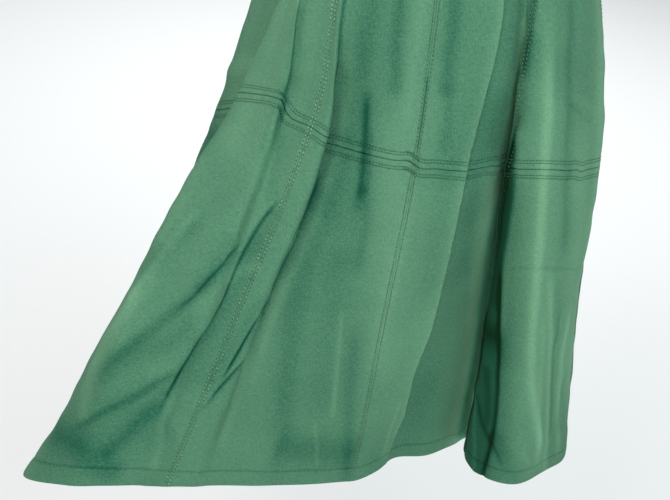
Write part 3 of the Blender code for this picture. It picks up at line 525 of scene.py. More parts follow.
@dataclass
class Relief:
    """How far the cloth stands in or out of its smooth form: swells, creases, seams and puckers.

    A crease reaches a number of its own widths. narrow, short, lead and easing are millimetres.
    """

    form: ClothForm
    pucker_reach: float = 9 * MM
    jog_reach: float = 26 * MM
    jog_rings: float = 2.5
    # Each crease also paints shade into its trough and highlight onto its ridge, in step with its height and within
    # these limits.
    painted_height_light_rate: float = 0.07
    painted_height_light_limits: tuple[float, float] = (-0.2, 0.1)
    fade: float = 0.15
    smooth_reach: float = 3
    step_reach: float = 6
    step_lip: float = 0.45
    step_drop: float = 0.75
    step_shade: float = 0.6
    narrow: float = 5.0
    short: float = 40
    lead: float = 8
    easing: float = 20
    around: int = len(RIBS)
    lines: list[tuple[Crease, np.ndarray, np.ndarray]] = field(default_factory=list)

    def __post_init__(self) -> None:
        """Draws the creases on the form."""
        for crease in CREASES:
            points, spots = self.form.path(crease.path)
            self.lines.append((crease, points, spots))

    def swell(self, points: np.ndarray) -> np.ndarray:
        """Adds the slow swells, which run on from panel to panel."""
        total = np.zeros(points.shape[:-1])
        for wave in SWELLS:
            heading, climb = math.radians(wave.heading), math.radians(wave.climb)
            way = np.array((math.cos(heading) * math.cos(climb), math.sin(heading) * math.cos(climb),
                            math.sin(climb)))
            total += wave.height * MM * np.sin(points @ way * math.tau / (wave.length * MM) + wave.phase)
        return total

    def turned(self, offset: np.ndarray) -> np.ndarray:
        """Brings a distance in rings to the shorter way round the skirt."""
        return (offset + self.around / 2) % self.around - self.around / 2

    def profile(self, kind: CreaseKind, away: np.ndarray, side: np.ndarray
                ) -> tuple[np.ndarray, np.ndarray]:
        """Reads a crease's section.

        Args:
            kind: What the crease does.
            away: The distance from its path, in its own widths.
            side: On which side of its path a place lies, by its sign.

        Returns:
            The height of each place, and its share of the crease's painted shade or highlight.
        """
        if kind not in (STEP_RIGHT, STEP_LEFT):
            dark = np.exp(-away**(4 if kind is HOLLOW else 2))
            return dark * (1 if kind is RIDGE else -1), dark
        away = away * np.sign(side) * (1 if kind is STEP_RIGHT else -1)
        low, high = np.maximum(away, 0), np.maximum(-away, 0)
        fall = self.step_lip * np.exp(-2 * low) - self.step_drop * low * np.exp(1 - low)
        shape = np.where(away > 0, fall, self.step_lip * np.exp(-0.5 * high))
        return shape, np.exp(-(away - self.step_shade)**2)

    def crease(self, points: np.ndarray, rings: np.ndarray) -> tuple[np.ndarray, np.ndarray]:
        """Adds the creases.

        Args:
            points: The form's points.
            rings: Their ring places.

        Returns:
            Heights, and the shade and highlight painted into the cloth's colour, in the shape of rings.
        """
        total, painted_light_and_seam_tones = np.zeros(rings.shape), np.zeros(rings.shape)
        for crease, line, spots in self.lines:
            width = crease.width * MM
            stepped = crease.kind in (STEP_RIGHT, STEP_LEFT)
            reach = (self.step_reach if stepped else self.smooth_reach) * width
            middle = (spots[:, 0].min() + spots[:, 0].max()) / 2
            offset = self.turned(rings - middle)
            window = (spots[:, 0].max() - spots[:, 0].min()) / 2 + crease.rings
            near = (np.abs(offset) < window) & np.all(points > line.min(axis=0) - reach, axis=-1)
            near &= np.all(points < line.max(axis=0) + reach, axis=-1)
            if not near.any():
                continue
            spot = points[near]
            starts, run = line[:-1], np.diff(line, axis=0)
            share = np.einsum("vsk,sk->vs", spot[:, None] - starts[None], run) / (run**2).sum(axis=1)
            share = np.clip(share, 0, 1)
            gap = np.linalg.norm(spot[:, None] - (starts[None] + share[..., None] * run[None]), axis=-1)
            best = gap.argmin(axis=1)
            pick = np.arange(len(best))
            away, part = gap[pick, best] / width, share[pick, best]
            along = (best + part) / len(run)
            fade = smooth_step(along / self.fade) * smooth_step((1 - along) / self.fade)
            at_ring = spots[best, 0] + (spots[best + 1, 0] - spots[best, 0]) * part
            shape, dark = self.profile(crease.kind, away, self.turned(rings[near] - at_ring))
            total[near] += crease.height * shape * fade
            # Painted shade where the crease sinks and painted highlight where it rises, plus the crease's own painted
            # shade or highlight.
            painted_height_light = np.clip(crease.height * shape * self.painted_height_light_rate, *self.painted_height_light_limits)
            painted_light_and_seam_tones[near] += (painted_height_light + crease.tone * dark) * fade
        return total * MM, painted_light_and_seam_tones

    def narrow_places(self, level: float) -> list[tuple[float, float]]:
        """Finds the rings at which narrow creases cross a level, and how much each counts there."""
        found = []
        for crease in CREASES:
            rings, levels = np.array(crease.path).T
            if crease.width > self.narrow or levels[-1] - levels[0] < self.short:
                continue
            at = level / MM
            weight = float(smooth_step((at - levels[0] + self.lead) / self.easing)
                           * smooth_step((levels[-1] + self.lead - at) / self.easing))
            if weight > 0:
                found.append((float(np.interp(at, levels, rings)), weight))
        return found

    def jog(self, points: np.ndarray, rings: np.ndarray, levels: np.ndarray) -> np.ndarray:
        """Finds how far down the jogs carry the cloth near the seam between the tiers."""
        total = np.zeros(rings.shape)
        near_seam = np.exp(-((levels - TIER_SEAM) / self.jog_reach)**2)[:, None]
        for jog in JOGS:
            spots = self.form.points(np.array([[jog.ring, jog.ring + 0.01]]), np.array([TIER_SEAM]))[0]
            along = (points - spots[0]) @ unit(spots[1] - spots[0]) / (jog.width * MM)
            near = np.abs(self.turned(rings - jog.ring)) < self.jog_rings
            total += jog.drop * MM * along * np.exp(0.5 - 0.5 * along**2) * near
        return total * near_seam

    def seam(self, distance: np.ndarray, travel: np.ndarray, section: SeamSection
             ) -> tuple[np.ndarray, np.ndarray]:
        """Shapes the cloth beside one seam.

        Args:
            distance: From the seam.
            travel: How far along the seam.
            section: The seam's section.

        Returns:
            Heights, and how light or dark the cloth looks.
        """
        away = distance / MM
        line = np.exp(-(away / section.valley_width)**2)
        height = section.bulk * np.exp(-(away / section.bulk_width)**2)
        height = height - (section.valley + section.bulk) * line
        tone = section.line_tone * np.exp(-(away / section.line_tone_width)**2)
        for row in section.rows:
            height = height - section.groove * np.exp(-((away - row) / section.groove_width)**2)
            tone = tone + section.row_tone * np.exp(-((away - row) / section.row_tone_width)**2)
        pucker = sum(wave.height * np.sin(travel * math.tau / (wave.length * MM) + wave.phase)
                     for wave in PUCKERS)
        return (height + pucker * np.exp(-(distance / self.pucker_reach)**2)) * MM, tone


def select_only(piece: bpy.types.Object) -> None:
    """Makes one object the only selected and active one."""
    bpy.ops.object.select_all(action="DESELECT")
    piece.select_set(True)
    bpy.context.view_layer.objects.active = piece


def add_piece(piece: bpy.types.Object, name: str, material: bpy.types.Material) -> None:
    """Names a finished object, gives it its finish and lets it ride on the skirt.

    Args:
        piece: The object.
        name: Its name, which its mesh takes too.
        material: Its finish.
    """
    piece.name = name
    piece.data.name = name
    piece.data.materials.clear()
    piece.data.materials.append(material)
    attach(piece, BODY)


@dataclass
class SheetGrid:
    """A rectangle of cloth laid on the form: rows run down and columns run round it."""

    rings: np.ndarray
    levels: np.ndarray
    depths: np.ndarray
    heights: np.ndarray
    points: np.ndarray
    normals: np.ndarray
    downs: np.ndarray
    across: np.ndarray
    # Painted shade and highlight from the creases, with the seams' darker lines, for the cloth's colour.
    painted_light_and_seam_tones: np.ndarray
    coarse: float = 3.4 * MM

    def surface(self) -> np.ndarray:
        """Returns the points with their relief and their depth behind the outer face."""
        return self.points + self.normals * (self.heights - self.depths[:, None])[..., None]

    def backing(self, thickness: float) -> np.ndarray:
        """Returns the sheet's back, which stays behind every dip of its face."""
        low = self.heights
        for axis in (0, 1):
            padded = np.concatenate((np.take(low, [0], axis), low, np.take(low, [-1], axis)), axis)
            count = low.shape[axis]
            low = np.minimum.reduce([np.take(padded, np.arange(count) + step, axis) for step in range(3)])
        low = np.where((self.depths == 0)[:, None], low, self.heights)
        fall, sink = np.gradient(self.levels), np.gradient(self.depths)
        size = np.hypot(fall, sink)
        wall = self.normals * (fall / size)[:, None, None] + self.downs * (sink / size)[:, None, None]
        return self.points + self.normals * (low - self.depths[:, None])[..., None] - wall * thickness

    def thinned(self, places: np.ndarray) -> list[int]:
        """Picks the back's rows or columns, which lie further apart than the face's."""
        kept = [0]
        for index in range(1, len(places) - 1):
            if places[index] - places[kept[-1]] >= self.coarse or index == kept[-1] + 2:
                kept.append(index)
        return kept + [len(places) - 1]

    def build(self, thickness: float) -> bpy.types.Object:
        """Makes the sheet: its fine face, its coarser back and the rims that join them.

        Args:
            thickness: The cloth's.

        Returns:
            The new object.
        """
        rows, columns = self.rings.shape
        run = np.abs(np.diff(self.levels)) + np.abs(np.diff(self.depths))
        kept_rows = self.thinned(np.concatenate(([0], np.cumsum(run))))
        kept_columns = self.thinned(self.across[rows // 2] - self.across[rows // 2, 0])
        face = np.arange(rows * columns).reshape(rows, columns)
        grid = np.ix_(kept_rows, kept_columns)
        back = np.arange(len(kept_rows) * len(kept_columns)).reshape(len(kept_rows), -1) + face.size
        faces = [np.stack((face[:-1, :-1], face[1:, :-1], face[1:, 1:], face[:-1, 1:]), -1).reshape(-1, 4)]
        faces.append(np.stack((back[:-1, :-1], back[:-1, 1:], back[1:, 1:], back[1:, :-1]), -1).reshape(-1, 4))
        polygons = [tuple(quad) for part in faces for quad in part.tolist()]
        rims = ((face[0], back[0], kept_columns, False), (face[-1], back[-1], kept_columns, True),
                (face[:, 0], back[:, 0], kept_rows, True), (face[:, -1], back[:, -1], kept_rows, False))
        for edge, behind, kept, turned in rims:
            for place, (one, two) in enumerate(zip(kept, kept[1:])):
                rim = edge[one:two + 1].tolist() + [int(behind[place + 1]), int(behind[place])]
                polygons.append(tuple(reversed(rim)) if turned else tuple(rim))
        spots = np.concatenate((self.surface().reshape(-1, 3), self.backing(thickness)[grid].reshape(-1, 3)))
        mesh = bpy.data.meshes.new("sheet")
        mesh.from_pydata(spots.tolist(), [], polygons)
        # The colour reads this: the creases' painted shade and highlight, and the seams' darker lines.
        tone = mesh.attributes.new("tone", "FLOAT", "POINT")
        tone.data.foreach_set("value", np.concatenate((self.painted_light_and_seam_tones.ravel(), self.painted_light_and_seam_tones[grid].ravel())))
        run_on = np.broadcast_to((self.levels + self.depths)[:, None], self.rings.shape)
        cloth = np.stack((self.across, run_on), axis=-1)
        cloth = np.concatenate((cloth.reshape(-1, 2), cloth[grid].reshape(-1, 2)))
        corner = np.empty(len(mesh.loops), dtype=int)
        mesh.loops.foreach_get("vertex_index", corner)
        mesh.uv_layers.new(name="cloth").data.foreach_set("uv", cloth[corner].ravel())
        piece = bpy.data.objects.new("sheet", mesh)
        bpy.context.scene.collection.objects.link(piece)
        select_only(piece)
        bpy.ops.object.shade_smooth_by_angle(angle=math.radians(55))
        return piece

    def outer_row(self, level: float) -> int:
        """Returns the outer layer's row nearest a level."""
        return int(np.where(self.depths == 0, np.abs(self.levels - level), 1.0).argmin())

    def line(self, row: int | None = None, column: int | None = None) -> tuple[np.ndarray, np.ndarray]:
        """Returns the surface points and normals along one row or one column."""
        spots = self.surface()
        if row is not None:
            return spots[row], self.normals[row]
        return spots[:, column], self.normals[:, column]


@dataclass
class Panel:
    """One gore of one tier, from seam to seam, with the columns crowded at its sides."""

    name: str
    node: str
    start: int
    end: int
    top: float
    foot: float
    spacing: float
    hemmed: bool
    thickness: float = 0.8 * MM
    gap: float = 0.03 * MM
    side_steps: tuple[float, ...] = (0.5, 1.1, 1.7, 2.3, 2.9, 3.7, 5.0, 7.0, 9.5)
    tier_steps: tuple[float, ...] = (0.5, 1.1, 1.9, 3.0, 4.4, 5.6, 6.1, 6.6, 7.1, 8.1, 9.0, 9.5, 10.0, 11.4, 13.5)
    band_steps: tuple[float, ...] = (0.6, 1.4, 2.6, 4.5)
    hem_rows: tuple[float, ...] = (684, 687, 689, 690, 691, 693, 697, 701, 705)
    fold: tuple[tuple[float, float], ...] = (
        (707.5, 0.0), (709.0, 0.05), (709.7, 0.35), (710.0, 0.9), (709.7, 1.45), (709.0, 1.75),
        (707.5, 1.8), (704, 1.8), (700, 1.8), (696, 1.8), (692, 1.8), (690, 1.8))
    samples: int = 400
    crowding: float = 1.6
    crowd_reach: float = 6 * MM
    pucker_shift: float = 7
    tier_pucker_shift: float = 31
    grid: SheetGrid | None = None

    def rows(self) -> tuple[np.ndarray, np.ndarray]:
        """Returns the level and the depth of every row, the turned-up hem's among them."""
        steps_top = self.tier_steps if self.hemmed else self.band_steps
        head = [self.top + self.gap] + [self.top + step * MM for step in steps_top]
        if self.hemmed:
            tail = [level * MM for level in self.hem_rows]
        else:
            tail = [self.foot - step * MM for step in reversed(self.tier_steps)] + [self.foot - self.gap]
        count = max(2, math.ceil((tail[0] - head[-1]) / self.spacing))
        body = list(np.linspace(head[-1], tail[0], count + 1)[1:-1])
        levels = head + body + tail
        depths = [0.0] * len(levels)
        if self.hemmed:
            levels += [level * MM for level, _ in self.fold]
            depths += [depth * MM for _, depth in self.fold]
        return np.array(levels), np.array(depths)

    def spread(self, relief: Relief, level: float, rings: np.ndarray, length: np.ndarray, side: float,
               count: int) -> np.ndarray:
        """Spreads a row's middle columns, closer together where a narrow crease crosses it.

        Args:
            relief: Knows the creases.
            level: The row's level.
            rings: Rings along the row.
            length: How far along the row those rings lie.
            side: The width kept for the columns beside a seam.
            count: How many gaps to leave between columns.

        Returns:
            The columns' places along the row.
        """
        span = np.linspace(side, length[-1] - side, self.samples)
        density = np.ones(self.samples)
        for ring, weight in relief.narrow_places(level):
            if self.start <= ring <= self.end:
                spot = np.interp(ring, rings, length)
                density += self.crowding * weight * np.exp(-((span - spot) / self.crowd_reach)**2)
        total = np.concatenate(([0], np.cumsum((density[1:] + density[:-1]) / 2)))
        return np.interp(np.linspace(0, total[-1], count + 1)[1:-1], total, span)

    def lay(self, relief: Relief) -> None:
        """Lays the panel's grid on the form and gives it its relief."""
        form = relief.form
        levels, depths = self.rows()
        search = np.broadcast_to(np.linspace(self.start, self.end, self.samples), (len(levels), self.samples))
        trail = form.points(search, levels)
        gaps = np.linalg.norm(np.diff(trail, axis=1), axis=-1)
        length = np.concatenate((np.zeros((len(levels), 1)), np.cumsum(gaps, axis=1)), axis=1)
        width = length[:, -1]
        side = np.array((self.gap / MM, *self.side_steps)) * MM
        count = max(3, math.ceil((width.max() - 2 * side[-1]) / self.spacing))
        rings, left = [], []
        for row, total in enumerate(width):
            middle = self.spread(relief, levels[row], search[row], length[row], side[-1], count)
            spots = np.concatenate((side, middle, total - side[::-1]))
            rings.append(np.interp(spots, length[row], search[row]))
            left.append(spots)
        rings, left = np.array(rings), np.array(left)
        right = width[:, None] - left
        points, normals, downs = form.frames(rings, levels)
        # Besides heights, the creases give painted shade and highlight for the cloth's colour.
        creases, painted_light_and_seam_tones = relief.crease(points, rings)
        heights = relief.swell(points) + creases
        points = points + downs * relief.jog(points, rings, levels)[..., None]
        travel = np.broadcast_to(levels[:, None], rings.shape)
        outer = (depths == 0)[:, None]
        round_it = left + self.start * self.tier_pucker_shift * MM
        seams = [(left, travel + self.start * self.pucker_shift * MM, SIDE_SECTION),
                 (right, travel + self.end * self.pucker_shift * MM, SIDE_SECTION)]
        if self.hemmed:
            seams.append((travel - self.top, round_it, TIER_SECTION))
            below = travel - HEM_TURN
            line = np.exp(-(below / HEM_SECTION.groove_width)**2) * outer
            heights -= HEM_SECTION.groove * line
            heights += HEM_SECTION.bulk * smooth_step(below / HEM_SECTION.bulk_reach) * outer
            painted_light_and_seam_tones = painted_light_and_seam_tones + HEM_SECTION.tone * line
        else:
            seams.append((self.foot - travel, round_it, TIER_SECTION))
            seams.append((travel - self.top, round_it, BAND_SECTION))
        for seam in seams:
            height, tone = relief.seam(*seam)
            heights, painted_light_and_seam_tones = heights + height, painted_light_and_seam_tones + tone
        middle = np.broadcast_to(width[:, None] / 2, left.shape)
        self.grid = SheetGrid(rings, levels, depths, heights, points, normals, downs, left - middle, painted_light_and_seam_tones)

    def cut(self) -> tuple[float, float, float]:
        """Returns the panel's flat width and length, its turned-up hem included, and its area."""
        outer = self.grid.depths == 0
        widths = self.grid.across[outer, -1] - self.grid.across[outer, 0]
        levels = self.grid.levels[outer]
        turn_up = HEM - HEM_TURN if self.hemmed else 0.0
        length = self.foot - self.top + turn_up
        area = float(np.sum((widths[1:] + widths[:-1]) / 2 * np.diff(levels))) + turn_up * float(widths[-1])
        widest = float(widths.max())
        return widest, length, min(area, 0.999 * widest * length)

    def build(self, relief: Relief, material: bpy.types.Material) -> bpy.types.Object:
        """Makes the panel and has it stand for its solid."""
        self.lay(relief)
        piece = self.grid.build(self.thickness)
        add_piece(piece, self.name, material)
        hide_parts(self.node)
        width, length, area = self.cut()
        LOG.info("%s: %d by %d mm", self.name, width / MM, length / MM)
        return piece


@dataclass
class Panels:
    """The sixteen panels of the two tiers."""

    relief: Relief
    front_spacing: tuple[float, ...] = (2.1 * MM, 2.2 * MM, 2.4 * MM, 2.4 * MM)
    back_spacing: float = 4.0 * MM
    quick_spacing: float = 6.0 * MM
    panels: list[Panel] = field(default_factory=list)

    def build(self, material: bpy.types.Material) -> None:
        """Makes every panel, the front ones finer."""
        for gore in range(GORES):
            start = SEAM_RIBS[gore]
            end = SEAM_RIBS[gore + 1] if gore + 1 < GORES else len(RIBS)
            spacing = self.front_spacing[gore] if gore < len(self.front_spacing) else self.back_spacing
            for tier, top, foot in (("upper", BAND_FOOT, TIER_SEAM), ("lower", TIER_SEAM, HEM)):
                node = f"{tier}_gore_{gore + 1}"
                panel = Panel(f"{node}_cloth", node, start, end, top, foot, spacing, tier == "lower")
                panel.build(self.relief, material)
                self.panels.append(panel)

    def of_tier(self, lower: bool) -> list[Panel]:
        """Returns one tier's panels, in order round the skirt."""
        return [panel for panel in self.panels if panel.hemmed == lower]


@dataclass
class Waistband:
    """A folded band that stands a little proud of the gores and meets over the zip.

    outer_levels, fold and end_steps are millimetres.
    """

    form: ClothForm
    proud: float = 0.8 * MM
    inside: float = 2.1 * MM
    thickness: float = 0.8 * MM
    slit: float = 1.0 * MM
    spacing: float = 4.0 * MM
    samples: int = 400
    node: str = "waistband"
    outer_levels: tuple[float, ...] = (
        1.3, 2.2, 3.2, 6, 10, 14, 18, 22, 26, 30, 31.5, 32.3, 33.1, 34.2, 34.8)
    fold: tuple[tuple[float, float], ...] = (
        (1.3, 2.1), (0.5, 2.0), (0.12, 1.6), (0.0, 1.05), (0.12, 0.5), (0.5, 0.1))
    end_steps: tuple[float, ...] = (0, 0.5, 1.1, 2.0)
    end_fall: float = 0.9 * MM
    end_reach: float = 0.8 * MM
    ripple: float = 0.16 * MM
    ripple_lengths: tuple[float, float] = (31 * MM, 52 * MM)
    pucker: float = 0.12 * MM
    pucker_length: float = 12.5 * MM
    pucker_reach: float = 3 * MM
    stitch_levels: tuple[float, float] = (2.2 * MM, 32.3 * MM)
    groove: float = 0.35 * MM
    groove_width: float = 0.7 * MM
    foot_fall: float = 0.7 * MM
    foot_width: float = 0.8 * MM
    grid: SheetGrid | None = None

    def relief(self, spots: np.ndarray, level: np.ndarray, outer: np.ndarray) -> np.ndarray:
        """Returns how far the band stands out.

        Args:
            spots: The columns' places round the band, from end to end.
            level: The rows' levels, as a column.
            outer: Which rows are the outer layer's, as a column.

        Returns:
            Heights by row and column.
        """
        end_gap = np.minimum(spots - spots[0], spots[-1] - spots)
        heights = self.proud - self.end_fall * np.exp(-(end_gap / self.end_reach)**2)
        around, down = self.ripple_lengths
        ripple = self.ripple * np.sin(spots * math.tau / around) * np.sin(level * math.tau / down)
        pucker = self.pucker * np.sin(spots * math.tau / self.pucker_length + 1.0)
        heights = heights + ripple + pucker * sum(
            np.exp(-((level - row) / self.pucker_reach)**2) for row in self.stitch_levels)
        for row in self.stitch_levels:
            heights = heights - self.groove * np.exp(-((level - row) / self.groove_width)**2) * outer
        return heights - self.foot_fall * np.exp(-((level - BAND_FOOT) / self.foot_width)**2) * outer

    def build(self, material: bpy.types.Material) -> None:
        """Makes the band: its inner layer, the fold over the top and its outer layer."""
        inner = [(level, self.inside / MM) for level in reversed(self.outer_levels[1:])]
        rows = inner + list(self.fold) + [(level, 0.0) for level in self.outer_levels]
        levels, depths = np.array(rows).T * MM
        start = SEAM_RIBS[BACK_SEAM]
        sample = np.linspace(start, start + len(RIBS), self.samples)
        trail = self.form.points(sample[None], np.array([BAND_FOOT / 2]))[0]
        length = np.concatenate(([0], np.cumsum(np.linalg.norm(np.diff(trail, axis=0), axis=-1))))
        edge = np.array(self.end_steps) * MM + self.slit / 2
        count = math.ceil(length[-1] / self.spacing)
        middle = np.linspace(edge[-1], length[-1] - edge[-1], count + 1)[1:-1]
        spots = np.concatenate((edge, middle, length[-1] - edge[::-1]))
        rings = np.broadcast_to(np.interp(spots, length, sample), (len(rows), len(spots)))
        points, normals, downs = self.form.frames(rings, levels)
        heights = self.relief(spots, levels[:, None], (depths == 0)[:, None])
        across = np.broadcast_to(spots, rings.shape)
        self.grid = SheetGrid(rings, levels, depths, heights, points, normals, downs, across, heights * 0)
        piece = self.grid.build(self.thickness)
        add_piece(piece, "waistband_cloth", material)
        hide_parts(self.node)
        LOG.info("waistband: %d mm round", length[-1] / MM)


# The fractions of a fast sine are as good as random numbers, and the same each time.
UNEVEN_RATE = 12.9898
UNEVEN_SCALE = 43758.5


@dataclass(frozen=True)
class Stitch:
    """The size of one kind of stitch and of the needle's holes between two, in metres.

    slant is degrees. wander is how unevenly the stitches lie: it leans them and moves them aside.
    """

    pitch: float
    length: float
    radius: float
    lift: float
    slant: float
    hole: tuple[float, float]
    wander: float = 0.3
    lean: float = 0.9
    aside: float = 0.5 * MM


@dataclass
class Row:
    """A line on the cloth that a row of stitches follows."""

    points: np.ndarray
    normals: np.ndarray

    def places(self, stitch: Stitch, between: bool) -> np.ndarray:
        """Finds where the row's stitches go, or the holes between them.

        Args:
            stitch: The stitches' size.
            between: Whether the holes are wanted.

        Returns:
            For each stitch four rows: its middle, and its directions along, across and outward.
        """
        steps = np.linalg.norm(np.diff(self.points, axis=0), axis=-1)
        length = np.concatenate(([0], np.cumsum(steps)))
        count = max(2, int(length[-1] / stitch.pitch))
        order = np.arange(1, count) if between else np.arange(count) + 0.5
        mids = order * length[-1] / count
        middle, out = self.read(mids, length, self.points), unit(self.read(mids, length, self.normals))
        half = stitch.length / 2
        wander = np.sin(order * UNEVEN_RATE) * UNEVEN_SCALE
        wander = (wander - np.floor(wander) - 0.5) * stitch.wander
        run = unit(self.read(mids + half, length, self.points) - self.read(mids - half, length, self.points))
        across = unit(np.cross(out, run))
        slant = (math.radians(stitch.slant) + wander * stitch.lean)[:, None]
        middle = middle + across * (wander * stitch.aside)[:, None]
        run, across = (run * np.cos(slant) + across * np.sin(slant),
                       across * np.cos(slant) - run * np.sin(slant))
        out = np.cross(run, across)
        return np.stack((middle + out * stitch.lift * (not between), run, across, out), axis=1)

    @staticmethod
    def read(at: np.ndarray, length: np.ndarray, values: np.ndarray) -> np.ndarray:
        """Reads three-part values at some lengths along the row."""
        return np.stack([np.interp(at, length, values[:, axis]) for axis in range(3)], axis=-1)


@dataclass
class Sewing:
    """All the stitches that show: short threads and the needle's holes between them."""

    thread: bpy.types.Material
    shade_painted_thread: bpy.types.Material
    shadow: bpy.types.Material
    shade_painted_seam: str = "right_front_seam"
    quiet_seam: str = "centre_front_seam"
    seams: Stitch = Stitch(4.1 * MM, 2.4 * MM, 0.62 * MM, 0.24 * MM, 14.0, (1.8 * MM, 0.75 * MM), 1.0)
    tiers: Stitch = Stitch(3.2 * MM, 1.8 * MM, 0.34 * MM, -0.04 * MM, 6.0, (2.0 * MM, 0.85 * MM))
    blind: Stitch = Stitch(3.8 * MM, 1.6 * MM, 0.25 * MM, -0.06 * MM, 0.0, (1.4 * MM, 0.30 * MM))
    band: Stitch = Stitch(3.5 * MM, 2.5 * MM, 0.40 * MM, 0.15 * MM, 0.0, (1.0 * MM, 0.45 * MM))

    @staticmethod
    def bead(segments: int, ring_count: int) -> tuple[np.ndarray, np.ndarray]:
        """Models a small bead, 1 in radius.

        Args:
            segments: How many sides it has.
            ring_count: How many rings of faces it has from pole to pole.

        Returns:
            Its points and its faces, whose triangles end in -1.
        """
        bpy.ops.mesh.primitive_uv_sphere_add(segments=segments, ring_count=ring_count, radius=1)
        ball = bpy.context.object
        spots = np.array([vertex.co[:] for vertex in ball.data.vertices])
        faces = [tuple(face.vertices) for face in ball.data.polygons]
        bpy.data.objects.remove(ball)
        return spots, np.array([face + (-1,) * (4 - len(face)) for face in faces])

    def thread_shape(self) -> tuple[np.ndarray, np.ndarray]:
        """Models one thread with blunt ends, 1 long and 1 in radius, along X."""
        spots, faces = self.bead(segments=5, ring_count=4)
        spots = spots[:, (2, 0, 1)]
        spots[:, 0] = np.sign(spots[:, 0]) * np.abs(spots[:, 0])**0.7 * 0.5
        return spots, faces

    def hole_shape(self) -> tuple[np.ndarray, np.ndarray]:
        """Models one needle hole as a flat bead, 1 long."""
        spots, faces = self.bead(segments=4, ring_count=3)
        return spots * (0.5, 1.0, 0.22), faces

    def scatter(self, name: str, shape: tuple[np.ndarray, np.ndarray], size: tuple[float, float, float],
                places: np.ndarray, material: bpy.types.Material) -> None:
        """Makes one mesh of many copies of a small shape.

        Args:
            name: The piece's name.
            shape: The shape's points and faces.
            size: How far it is stretched along, across and outward.
            places: Where the copies go.
            material: Their finish.
        """
        spots, faces = shape
        points = places[:, None, 0] + np.einsum("vk,nkc->nvc", spots * size, places[:, 1:])
        shift = (np.arange(len(places)) * len(spots))[:, None, None]
        filled = np.where(faces[None] < 0, -1, faces[None] + shift).reshape(-1, 4)
        mesh = bpy.data.meshes.new(name)
        mesh.from_pydata(points.reshape(-1, 3).tolist(), [],
                         [[index for index in face if index >= 0] for face in filled.tolist()])
        mesh.shade_smooth()
        piece = bpy.data.objects.new(name, mesh)
        bpy.context.scene.collection.objects.link(piece)
        add_piece(piece, name, material)
        LOG.info("%s: %d", name, len(places))

    def sew(self, name: str, rows: Sequence[Row], stitch: Stitch, thread: bpy.types.Material) -> None:
        """Sews one seam: its threads as one mesh and its holes as another."""
        threads = np.concatenate([row.places(stitch, False) for row in rows])
        holes = np.concatenate([row.places(stitch, True) for row in rows])
        self.scatter(name, self.thread_shape(), (stitch.length, stitch.radius, stitch.radius),
                     threads, thread)
        self.scatter(f"{name}_holes", self.hole_shape(), (*stitch.hole, stitch.hole[1]), holes, self.shadow)

    def build(self, panels: Panels, band: Waistband) -> None:
        """Sews the vertical seams, the seam between the tiers, the hem and the waistband."""
        side = 1 + panels.panels[0].side_steps.index(SIDE_SECTION.rows[0])
        for gore, seam in enumerate(SEAM_NAMES):
            rows = []
            for lower in (False, True):
                tier = panels.of_tier(lower)
                for panel, column in ((tier[gore], side), (tier[gore - 1], -1 - side)):
                    keep = panel.grid.depths == 0
                    points, normals = panel.grid.line(column=column)
                    rows.append(Row(points[keep], normals[keep]))
            # Below the tier seam this seam lies in the deep fold, so its threads there take the holes' painted shade;
            # above it they take the darker painted thread.
            if seam == self.shade_painted_seam:
                self.sew(f"topstitch_{seam}", rows[:2], self.seams, self.shade_painted_thread)
                self.sew(f"topstitch_{seam}_low", rows[2:], self.seams, self.shadow)
            else:
                thread = self.shade_painted_thread if seam == self.quiet_seam else self.thread
                self.sew(f"topstitch_{seam}", rows, self.seams, thread)
        tier_rows = []
        for panel in panels.panels:
            for offset in TIER_SECTION.rows:
                at = 1 + panel.tier_steps.index(offset)
                tier_rows.append(Row(*panel.grid.line(row=at if panel.hemmed else -1 - at)))
        self.sew("topstitch_tier_seam", tier_rows, self.tiers, self.shade_painted_thread)
        hem_rows = [Row(*panel.grid.line(row=panel.grid.outer_row(HEM_TURN))) for panel in panels.of_tier(True)]
        self.sew("hem_stitches", hem_rows, self.blind, self.shade_painted_thread)
        band_rows = [Row(*band.grid.line(row=band.grid.outer_row(level))) for level in band.stitch_levels]
        self.sew("waistband_topstitch", band_rows, self.band, self.thread)


